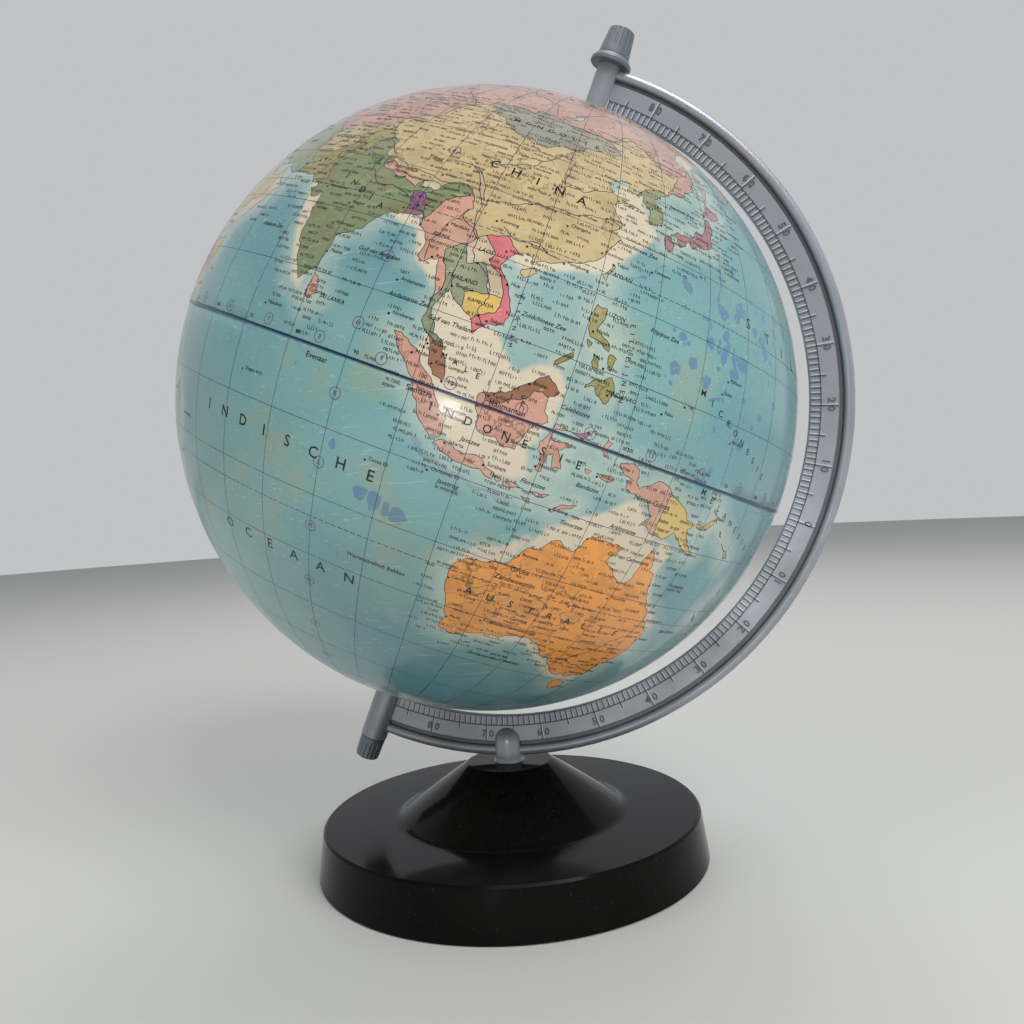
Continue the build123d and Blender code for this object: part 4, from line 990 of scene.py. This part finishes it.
def make_skin():
    """The map as two thin printed shells that meet at the equator."""
    corners, faces, fences = triangulate()
    paints = colour_countries(corners, faces, fences)
    lons = np.array([corner.x for corner in corners])
    lats = np.array([corner.y for corner in corners])
    shallow = np.zeros(len(corners), bool)
    for line in shelf_lines:
        shallow |= inside(line, lons, lats)
    skin = bmesh.new()
    tint_layer = skin.loops.layers.float_color.new("tint")
    sea_layer = skin.verts.layers.float_color.new("sea")
    made = {}
    for face, colour in zip(faces, paints):
        middle = sum(corners[c].y for c in face) / 3
        if abs(middle) > POLE_EDGE:
            continue
        half = 1 if middle > 0 else -1
        ring = []
        for corner in face:
            lon, lat = corners[corner]
            lon = WEST_CUT if lon > EAST_CUT - 1e-6 else lon
            key = (round(lon, 6), round(lat, 6), half)
            if key not in made:
                vertex = skin.verts.new(on_globe(lon, half * max(abs(lat), 1e-9)))
                nearness = max(0, 1 - distance(shore, lon, lat) / SHORE_REACH)
                if inside(pale_sea_line, np.array([lon]), np.array([lat]))[0]:
                    nearness = max(nearness, PALE_SEA_SHADE)
                depth = distance(shelf_edge, lon, lat) * (-1 if shallow[corner] else 1)
                vertex[sea_layer] = (nearness, min(max(0.5 - depth / SHELF_FADE, 0), 1), 0, 1)
                made[key] = vertex
            ring.append(made[key])
        if len(set(ring)) < 3:
            continue
        try:
            flat = skin.faces.new(ring)
        except ValueError:
            continue
        flat.smooth = True
        for loop in flat.loops:
            loop[tint_layer] = colour
    bmesh.ops.recalc_face_normals(skin, faces=skin.faces)
    mesh = bpy.data.meshes.new("map_skin")
    skin.to_mesh(mesh)
    skin.free()
    mesh.normals_split_custom_set_from_vertices([(v.co - CENTRE).normalized() for v in mesh.vertices])
    piece = place_piece(mesh, "map_skin", "globe", MATERIALS["printed_shell"])
    paper = piece.modifiers.new("paper", "SOLIDIFY")
    paper.thickness = PAPER
    paper.offset = -1


make_skin()


GRID_WIDTH = 0.17 * MM
DASH_WIDTH = 0.24 * MM
EQUATOR_WIDTH = 0.75 * MM
COAST_WIDTH = 0.2 * MM
FRONTIER_WIDTH = 0.22 * MM
RIVER_WIDTH = 0.25 * MM
RING_WIDTH = 0.22 * MM
STROKE_WIDTH = 0.19 * MM                # small type that can't be read
TOWN_DOT = 0.7 * MM


def draw_line(ink, points, width):
    """Lay a thin flat line of ink on the globe."""
    middles = [on_globe(lon, lat, INK_LIFT) for lon, lat in points]
    edge = None
    for i, here in enumerate(middles):
        along = middles[min(i + 1, len(middles) - 1)] - middles[max(i - 1, 0)]
        aside = along.cross(here - CENTRE).normalized() * width / 2
        new_edge = (ink.verts.new(here + aside), ink.verts.new(here - aside))
        if edge:
            ink.faces.new((edge[0], new_edge[0], new_edge[1], edge[1]))
        edge = new_edge


def finish_ink(ink, name, material):
    """Turn collected ink into a piece that rides on the globe."""
    ink.normal_update()
    for face in ink.faces:
        if face.normal.dot(face.calc_center_median() - CENTRE) < 0:
            face.normal_flip()
    mesh = bpy.data.meshes.new(name)
    ink.to_mesh(mesh)
    ink.free()
    place_piece(mesh, name, "globe", material)


# Graticule every ten degrees, dashed tropics and polar circles, and the heavy line of the equator.
graticule = bmesh.new()
for lon in range(-160, 200, 10):
    reach = POLE_EDGE - 0.5 if lon % 30 == 0 else 80
    for half in (1, -1):
        draw_line(graticule, stepped([(lon, half * 0.05), (lon, half * reach)], 2), GRID_WIDTH)
for lat in range(-80, 90, 10):
    if lat:
        draw_line(graticule, stepped([(WEST_CUT, lat), (EAST_CUT, lat)], 2), GRID_WIDTH)
for lat, dash in ((23.44, 0.8), (66.56, 1.6)):
    for half in (1, -1):
        for i in range(int(360 / (dash * 1.4))):
            lon = WEST_CUT + i * dash * 1.4
            draw_line(graticule, [(lon, half * lat), (lon + dash, half * lat)], DASH_WIDTH)
draw_line(graticule, stepped([(WEST_CUT, 0.2), (EAST_CUT, 0.2)]), EQUATOR_WIDTH)
finish_ink(graticule, "graticule", SEA_INK)

outlines = bmesh.new()
for line in coast_lines + lake_lines:
    if min(lat for _, lat in line) > -85:
        draw_line(outlines, stepped(line + line[:1]), COAST_WIDTH)
for line in border_lines:
    draw_line(outlines, stepped(line), FRONTIER_WIDTH)
finish_ink(outlines, "outlines", INK)

rivers = bmesh.new()
for line in river_lines:
    draw_line(rivers, stepped(line), RIVER_WIDTH)
finish_ink(rivers, "rivers", SEA_INK)

# ==== Lettering =================================================================================
# Ordinary names of seas, lands and towns. Sizes are the height of the type in millimetres.

SPREAD_NAMES = [
    # first letter's longitude and latitude, step per letter in degrees, size
    ("INDISCHE", 65, -13.5, 4.75, -0.1, 5.4),
    ("OCEAAN", 70, -31.5, 5.6, 0, 5.4),
    ("AUSTRALIE", 117.5, -26, 3.6, -0.1, 3.8),
    ("MALEISIE", 103, 4.6, 1.7, -0.35, 2.4),
    ("INDONESIE", 103.5, -2.3, 2.7, -0.1, 3.7),
    ("MICRONESIE", 141, 12.5, 2.2, -0.9, 3.2),
    ("MELANESIE", 147, -0.8, 2.4, -0.8, 3.2),
    ("CHINA", 98, 34.5, 4, -0.3, 4.6),
    ("INDIA", 75, 25.5, 2.4, -0.9, 3.4),
    ("MONGOLIE", 96, 46.2, 2.6, 0, 3),
    ("STILLE", 150, 26, 6.5, -0.6, 5.4),
    ("SIBERIE", 78, 62, 8, 0.5, 4.6),
    ("PAKISTAN", 64, 27, 1.2, 0.6, 2.2),
    ("ATLANTISCHE", -52, 32, 4.4, -1.6, 5),
    ("OCEAAN", -38, 12, 4.4, -1.6, 5),
    ("STILLE OCEAAN", -160, 4, 6, 0, 5.4),
    ("AFRIKA", 6, 14, 5, -2.4, 5),
    ("EUROPA", 8, 53, 5, 0, 4),
    ("NOORD-AMERIKA", -122, 50, 4, -0.6, 4.4),
    ("ZUID-AMERIKA", -68, -2, 1.8, -1.9, 4),
]
NAMES = {
    2.6: """Kalimantan 113.2 0.9; Grote 123.5 -20.3; Zandwoestijn 123.5 -22.1; Grote 127.5 -28.6;
        Victoriawoestijn 127.5 -30.4; Evenaar 85.5 -1.3; Sumatra 101.4 -0.9; Himalaja 84.5 29.3;
        Tibet 88 32.5; Gobi 105 43.7; AFGHANISTAN 66 33.7; IRAN 54 32.5; Nieuw-Guinea 138.3 -4.6""",
    2.0: """THAILAND 101.4 15.2; BIRMA 96 20.2; JAPAN 138.5 36.2; LAOS 103 20.1; LUZON 123.6 17.8;
        MINDANAO 127.6 7.6; SRI LANKA 84.6 6.9; KOREA 127.3 38.4; NEPAL 84 28.4; TAIWAN 123 23.7""",
    1.6: "KAMBODJA 105 12.9",
    2.1: """Golf van Bengalen 88.5 15; Golf van Thailand 102.3 8.9; Arabische Zee 66 15; Javazee 110 -4.9;
        Zuidchinese Zee 114 13.5; Celebeszee 122 3.6; Bandazee 127.5 -5.6; Floreszee 120 -7.5;
        Timorzee 127.5 -11.3; Arafoerazee 135.5 -9.6; Filipijnse Zee 132 18; Oostchinese Zee 125 29;
        Gele Zee 123.3 36; Japanse Zee 134 40; Andamanse Zee 95.6 10.2; Koraalzee 152 -16;
        Golf van Carpentaria 139 -13.6; Javatrog 109 -11.4; Zuidaustralisch Bekken 128 -38;
        Westaustralisch Bekken 102 -27; Stille Zuidzee 160 -25; Zee van Ochotsk 149 55""",
}
TOWNS = """Bombay 72.8 19; Delhi 77.2 28.6; Calcutta 88.4 22.6; Madras 80.3 13.1; Hyderabad 78.5 17.4;
    Nagpur 79.1 21.1; Ahmadabad 72.6 23; Karachi 67 24.9; Lahore 74.3 31.6; Kabul 69.2 34.5;
    Colombo 79.9 6.9; Kathmandu 85.3 27.7; Dacca 90.4 23.7; Mandalay 96.1 22; Rangoon 96.2 16.8;
    Bangkok 100.5 13.8; Vientiane 102.6 18; Hanoi 105.8 21; Hue 107.6 16.5; Saigon 106.7 10.8;
    Penang 100.3 5.4; Kuala Lumpur 101.7 3.1; Singapore 103.8 1.3; Medan 98.7 3.6; Padang 100.4 -0.9;
    Palembang 104.8 -3; Jakarta 106.8 -6.2; Surabaya 112.7 -7.3; Pontianak 109.3 0; Brunei 114.9 4.9;
    Banjarmasin 114.6 -3.3; Kuching 110.3 1.6; Manado 124.8 1.5; Makassar 119.4 -5.1; Ambon 128.2 -3.7;
    Kupang 123.6 -10.2; Port Moresby 147.2 -9.5; Rabaul 152.2 -4.2; Manila 121 14.6; Cebu 123.9 10.3;
    Davao 125.6 7.1; Taipei 121.5 25; Hongkong 114.2 22.3; Nanning 108.3 22.8; Kunming 102.7 25;
    Chungking 106.5 29.6; Wuhan 114.3 30.6; Changsha 113 28.2; Nanking 118.8 32; Foochow 119.3 26.1;
    Sian 108.9 34.3; Lanchow 103.8 36; Peking 116.4 39.9; Tsingtao 120.3 36.1; Shenyang 123.4 41.8;
    Harbin 126.6 45.8; Lhasa 91.1 29.7; Kashgar 76 39.5; Ulan Bator 106.9 47.9; Irkutsk 104.3 52.3;
    Seoul 127 37.5; Pusan 129 35.1; Tokyo 139.7 35.7; Osaka 135.5 34.7; Nagasaki 129.9 32.8;
    Vladivostok 131.9 43.1; Perth 115.9 -31.9; Adelaide 138.6 -34.9; Melbourne 145 -37.8;
    Sydney 151.2 -33.9; Brisbane 153 -27.5; Darwin 130.8 -12.5; Alice Springs 133.9 -23.7;
    Broome 122.2 -18; Port Hedland 118.6 -20.3; Carnarvon 113.7 -24.9; Kalgoorlie 121.5 -30.7;
    Albany 117.9 -35; Cairns 145.8 -16.9; Mount Isa 139.5 -20.7; Rockhampton 150.5 -23.4;
    Hobart 147.3 -42.9; Christmas Eil. 105.7 -10.5; Cocos Eil. 96.9 -12.2; Nicobaren 93.7 7.5;
    Andamanen 92.9 12.2; Chagos Arch. 72.4 -6.5; Malediven 73.2 3.5; Marianen 145.7 15.6;
    Karolinen 149 7.2; Guam 144.8 13.5; Palau 134.5 7.4; Yap 138.1 9.5; Okinawa 128 26.4;
    Teheran 51.4 35.7; Bagdad 44.4 33.3; Moskou 37.6 55.8; Tasjkent 69.3 41.3; Omsk 73.4 55;
    Londen -0.1 51.5; Parijs 2.3 48.9; Madrid -3.7 40.4; Rome 12.5 41.9; Berlijn 13.4 52.5;
    Kairo 31.2 30; Nairobi 36.8 -1.3; Kinshasa 15.3 -4.3; Kaapstad 18.4 -33.9; Lagos 3.4 6.5;
    New York -74 40.7; Chicago -87.6 41.9; Los Angeles -118.2 34; Mexico -99.1 19.4; Lima -77 -12;
    Rio de Janeiro -43.2 -22.9; Buenos Aires -58.4 -34.6; Montreal -73.6 45.5; Havana -82.4 23.1"""


def letters(text, size, slant=0.0, raise_by=0.0):
    """A word as a mesh in the XY plane, centred on its middle."""
    curve = bpy.data.curves.new("word", "FONT")
    curve.body = text
    curve.size = size
    curve.shear = slant
    curve.extrude = raise_by
    curve.offset = size * 0.012
    curve.align_x = "CENTER"
    curve.align_y = "CENTER"
    curve.resolution_u = 2
    holder = bpy.data.objects.new("word", curve)
    mesh = bpy.data.meshes.new_from_object(holder)
    bpy.data.objects.remove(holder)
    return mesh


def write(ink, text, lon, lat, size, slant=0.0, turn=0.0, start=False):
    """Print a word on the globe along its parallel, or turned from it."""
    mesh = letters(text, size * MM, slant)
    left = min(vertex.co.x for vertex in mesh.vertices) if start else 0
    narrowing = math.cos(math.radians(lat))
    for vertex in mesh.vertices:
        along, up, _ = Matrix.Rotation(math.radians(turn), 3, "Z") @ (vertex.co - Vector((left, 0, 0)))
        east = math.degrees(along / GLOBE_RADIUS / narrowing)
        vertex.co = on_globe(lon + east, lat + math.degrees(up / GLOBE_RADIUS), INK_LIFT)
    ink.from_mesh(mesh)
    bpy.data.meshes.remove(mesh)


def gazetteer(text):
    """Read a list of names with their longitudes and latitudes."""
    for entry in text.split(";"):
        name, lon, lat = entry.strip().rsplit(" ", 2)
        yield name, float(lon), float(lat)


TYPE_STEP = 0.38                        # from one small letter to the next, in degrees on the equator
TYPE_HEIGHT = 0.34                      # of a small letter, in degrees
RING_RADIUS = 0.85                      # of an index ring, in degrees

# Upright strokes of small type, each as two corners in a letter's box: two straight letters, one
# with a cross bar, a round one and one with a foot.
STROKES = [
    [((0, 0), (0, 1))],
    [((0, 0), (0, 1)), ((0.7, 0), (0.7, 1)), ((0, 1), (0.7, 1))],
    [((0.3, 0), (0.3, 1.5)), ((0, 1), (0.7, 1))],
    [((0, 0), (0, 1)), ((0.7, 0), (0.7, 1)), ((0, 1), (0.7, 1)), ((0, 0), (0.7, 0))],
    [((0, 0), (0, 1.5)), ((0, 0), (0.7, 0))],
]


def scribble(ink, lon, lat, length, chance):
    """Print a line of type too small to read: a row of plain strokes."""
    step = TYPE_STEP / math.cos(math.radians(lat))
    for i in range(length):
        for (x0, y0), (x1, y1) in chance.choice(STROKES):
            left = lon + (i + x0 * 0.8) * step
            right = lon + (i + x1 * 0.8) * step
            draw_line(ink, [(left, lat + y0 * TYPE_HEIGHT), (right, lat + y1 * TYPE_HEIGHT)], STROKE_WIDTH)


# Index rings: numbers above the equator, and letters down every ninetieth meridian.
rings = bmesh.new()


def add_ring(text, lon, lat):
    """Print a small ring with an index letter or number in it."""
    narrowing = math.cos(math.radians(lat))
    circle = []
    for i in range(17):
        angle = math.tau * i / 16
        circle.append((lon + RING_RADIUS * math.cos(angle) / narrowing, lat + RING_RADIUS * math.sin(angle)))
    draw_line(rings, circle, RING_WIDTH)
    write(rings, text, lon, lat, 2.2)


for number in range(36):
    add_ring(str(number % 18 + 1), WEST_CUT + 4.5 + 10 * number, 1.5)
for letter, lat in zip("ABCDEFGHKLMNPRST", range(75, -80, -10)):
    for lon in (-90, 0, 90, 180):
        add_ring(letter, lon, lat)
finish_ink(rings, "index_rings", RING_INK)

lettering = bmesh.new()
for text, lon, lat, step, climb, size in SPREAD_NAMES:
    for i, letter in enumerate(text):
        if letter != " ":
            write(lettering, letter, lon + i * step, lat + i * climb, size)
for text, lon, lat, size in (("FILIPIJNEN", 126.6, 17.5, 2.2), ("VIETNAM", 110, 15.8, 1.8)):
    for i, letter in enumerate(text):
        write(lettering, letter, lon + i * 0.12, lat - i * 1.15, size, turn=-80)
taken = []
for size, text in NAMES.items():
    for name, lon, lat in gazetteer(text):
        write(lettering, name, lon, lat, size, slant=0.25 if size < 2.5 else 0)
        taken.append((lon - len(name) * 0.35, lon + len(name) * 0.35, lat))
for name, lon, lat in gazetteer(TOWNS):
    write(lettering, name, lon + 0.5, lat + 0.35, 1.7, start=True)
    draw_line(lettering, [(lon - 0.16, lat), (lon + 0.16, lat)], TOWN_DOT)
    taken.append((lon, lon + len(name) * 0.5, lat))
for lon in range(-160, 200, 10):
    write(lettering, str(abs(lon if lon <= 180 else 360 - lon)), lon + 1.2, 1.15, 1.9)
chance = random.Random(4)
for west, east, south, north, count in (
    (60, 150, -38, 52, 6000),
    (-20, 60, -32, 60, 260),
    (-130, -40, -50, 60, 260),
):
    lons = np.array([chance.uniform(west, east) for _ in range(count)])
    lats = np.array([chance.uniform(south, north) for _ in range(count)])
    inland = np.zeros(count, bool)
    for line in coast_lines:
        inland |= inside(line, lons, lats)
    for lon, lat, on_land in zip(lons.tolist(), lats.tolist(), inland):
        length = chance.randint(4, 10)
        wide = length * TYPE_STEP / math.cos(math.radians(lat))
        near_land = on_land or distance(shore, lon, lat) < 5
        free = all(abs(lat - y) > 0.75 or lon > right or lon + wide < left for left, right, y in taken)
        if near_land and free:
            scribble(lettering, lon, lat, length, chance)
            taken.append((lon, lon + wide, lat))
finish_ink(lettering, "lettering", LETTER_INK)

# ==== Scale on the meridian arm =================================================================

BAND_INNER = GLOBE_RADIUS + 5.4 * MM
TICK_ROOT = BAND_INNER + 0.5 * MM
SCALE_RING = BAND_INNER + 4.3 * MM      # the ring line that the degree ticks reach
LONG_TICK_END = BAND_INNER + 11.2 * MM
DIGIT_RADIUS = BAND_INNER + 8.3 * MM
BAND_FACE = 1.7 * MM                    # from the middle plane of the arm to the face of its band
MARK_HEIGHT = 0.35 * MM
MARK_WIDTH = 0.42 * MM
TICK_SHADOW = 0.2                       # a painted shadow line, in the darker plastic, lies this many degrees beside every tick
LAST_DEGREE = 88


def arm_frame(degrees, radius, side, up_sign=1):
    """Axes at a place on a face of the arm's band: X along the reading direction, Y up, Z outwards."""
    angle = math.radians(degrees)
    radial = OUTWARDS * math.cos(angle) + NORTH * math.sin(angle)
    face = ACROSS * side
    up = radial * up_sign
    axes = Matrix((up.cross(face), up, face)).transposed().to_4x4()
    return Matrix.Translation(CENTRE + radial * radius + face * BAND_FACE) @ axes


def add_tick(marks, degrees, start, end, side, width=MARK_WIDTH):
    """Raise one straight mark across the band."""
    place = arm_frame(degrees, (start + end) / 2, side)
    size = Matrix.Diagonal((width, end - start, MARK_HEIGHT * 2, 1))
    bmesh.ops.create_cube(marks, size=1, matrix=place @ size)


def add_digit(marks, digit, degrees, aside, side):
    """Raise one figure of the scale, a little to one side of its line."""
    mesh = letters(digit, 4.3 * MM, raise_by=MARK_HEIGHT)
    up_sign = 1 if degrees >= 0 else -1
    mesh.transform(arm_frame(degrees, DIGIT_RADIUS, side, up_sign) @ Matrix.Translation((aside, 0, 0)))
    marks.from_mesh(mesh)
    bpy.data.meshes.remove(mesh)


marks = bmesh.new()
shaded_figures = bmesh.new()
for side in (1, -1):
    for degrees in range(-LAST_DEGREE, LAST_DEGREE + 1):
        if degrees % 10 == 0:
            end = LONG_TICK_END
        elif degrees % 5 == 0:
            end = SCALE_RING + 2.4 * MM
        else:
            end = SCALE_RING
        # The ticks, in the lighter plastic: a painted highlight.
        add_tick(marks, degrees, TICK_ROOT, end, side)
        # A painted shadow: a darker strip beside every tick.
        add_tick(shaded_figures, degrees - TICK_SHADOW, TICK_ROOT, end, side, MARK_WIDTH * 1.4)
        # The figures, in the darker plastic: painted shade.
        if degrees % 10 == 0 and degrees:
            add_digit(shaded_figures, str(abs(degrees) // 10), degrees, -1.75 * MM, side)
            add_digit(shaded_figures, "0", degrees, 1.75 * MM, side)
    add_digit(shaded_figures, "0", 0, 0, side)
    # The ring line, darkened as painted shade like the figures: a small square section swept from one end of
    # the scale to the other.
    start = arm_frame(-LAST_DEGREE, SCALE_RING, side)
    section = Matrix.Diagonal((0, MARK_WIDTH, MARK_HEIGHT * 2, 1)) @ Matrix.Rotation(math.pi / 2, 4, "Y")
    square = bmesh.ops.create_grid(shaded_figures, x_segments=1, y_segments=1, size=0.5, matrix=start @ section)
    rim = list({face for vertex in square["verts"] for face in vertex.link_faces})
    sweep = math.radians(2 * LAST_DEGREE)
    bmesh.ops.spin(shaded_figures, geom=rim, cent=CENTRE, axis=-ACROSS, angle=sweep, steps=174)
for name, mesh_parts, material in (
    ("arm_ticks", marks, "mark_plastic"),
    ("arm_figures", shaded_figures, "dark_mark_plastic"),
):
    bmesh.ops.remove_doubles(mesh_parts, verts=mesh_parts.verts, dist=1e-7)
    bmesh.ops.recalc_face_normals(mesh_parts, faces=mesh_parts.faces)
    mesh = bpy.data.meshes.new(name)
    mesh_parts.to_mesh(mesh)
    mesh_parts.free()
    place_piece(mesh, name, "stand", MATERIALS[material])

# ==== Room ======================================================================================


def area_light(name, place, target, size, power, shows=False):
    """A square soft light that faces a point. Most of them don't show as reflections."""
    data = bpy.data.lights.new(name, "AREA")
    data.size = size
    data.energy = power
    lamp = add_object(name, data)
    lamp.location = place
    lamp.visible_glossy = shows
    lamp.rotation_euler = (Vector(target) - Vector(place)).to_track_quat("-Z", "Y").to_euler()
    return lamp


area_light("key", (1.0, -1.0, 1.2), CENTRE, 1.0, 22)
area_light("fill", (-1.2, -0.9, 1.1), CENTRE, 1.2, 7)
area_light("top", (0, 0.9, 1.3), CENTRE, 1.0, 6)
area_light("glare", (0.01, -1.6, 0.06), CENTRE, 0.2, 2.2, shows=True)

# One lamp puts highlights on the arm, the knob and the rim of the base, and leaves the globe alone.
gloss_lamp = area_light("gloss", (0.3, -0.4, 1.4), CENTRE, 0.9, 14, shows=True)
gloss_pieces = bpy.data.collections.new("gloss_pieces")
globe_shells = ("north_hemi", "south_hemi")
globe_print = ("map_skin", "graticule", "outlines", "rivers", "index_rings", "lettering")
for piece in list(bpy.context.scene.objects):
    if piece.type == "MESH" and not piece.name.startswith(globe_shells + globe_print):
        gloss_pieces.objects.link(piece)
gloss_lamp.light_linking.receiver_collection = gloss_pieces

# The room's light comes mostly from behind the object, and its walls look one pale grey all round.
FRONT_LIGHT = 0.12
BACK_LIGHT = 0.62
world = bpy.data.worlds.new("room")
world.use_nodes = True
world_nodes = world.node_tree.nodes
heading = world_nodes.new("ShaderNodeTexCoord")
parts = world_nodes.new("ShaderNodeSeparateXYZ")
world.node_tree.links.new(heading.outputs["Generated"], parts.inputs[0])
brightness = world_nodes.new("ShaderNodeMapRange")
brightness.inputs["From Min"].default_value = -0.5
brightness.inputs["From Max"].default_value = 0.6
brightness.inputs["To Min"].default_value = FRONT_LIGHT
brightness.inputs["To Max"].default_value = BACK_LIGHT
world.node_tree.links.new(parts.outputs["Y"], brightness.inputs["Value"])
seen = world_nodes.new("ShaderNodeLightPath")
strength = world_nodes.new("ShaderNodeMix")
strength.inputs["B"].default_value = BACK_LIGHT
world.node_tree.links.new(seen.outputs["Is Camera Ray"], strength.inputs["Factor"])
world.node_tree.links.new(brightness.outputs[0], strength.inputs["A"])
world.node_tree.links.new(strength.outputs["Result"], world_nodes["Background"].inputs["Strength"])
world_nodes["Background"].inputs["Color"].default_value = (0.86, 0.88, 0.92, 1)
bpy.context.scene.world = world
bpy.context.scene.view_settings.view_transform = "Standard"

floor_mesh = bpy.data.meshes.new("floor")
floor_bm = bmesh.new()
bmesh.ops.create_circle(floor_bm, cap_ends=True, segments=64, radius=3)
floor_bm.to_mesh(floor_mesh)
floor_bm.free()
floor = add_object("floor", floor_mesh)
floor_finish = Finish("floor", 3)
floor_finish.set("Base Color", paint(214, 214, 210))
floor_finish.set("Roughness", 0.7)
floor_mesh.materials.append(floor_finish.material)

# ==== Camera ====================================================================================

CAMERA_PLACE = Vector((0.0879, -0.3949, -0.0386))       # from the globe's centre
CAMERA_TURNS = ((11.48, "Z"), (-1.01, "X"), (3.32, "Y"), (90, "X"))

camera_data = bpy.data.cameras.new("camera")
camera_data.sensor_width = 36
camera_data.lens = 32.18
camera = add_object("camera", camera_data)
turn = Matrix.Identity(4)
for degrees, axis in CAMERA_TURNS:
    turn = turn @ Matrix.Rotation(math.radians(degrees), 4, axis)
camera.matrix_world = Matrix.Translation(CENTRE + CAMERA_PLACE) @ turn
bpy.context.scene.camera = camera
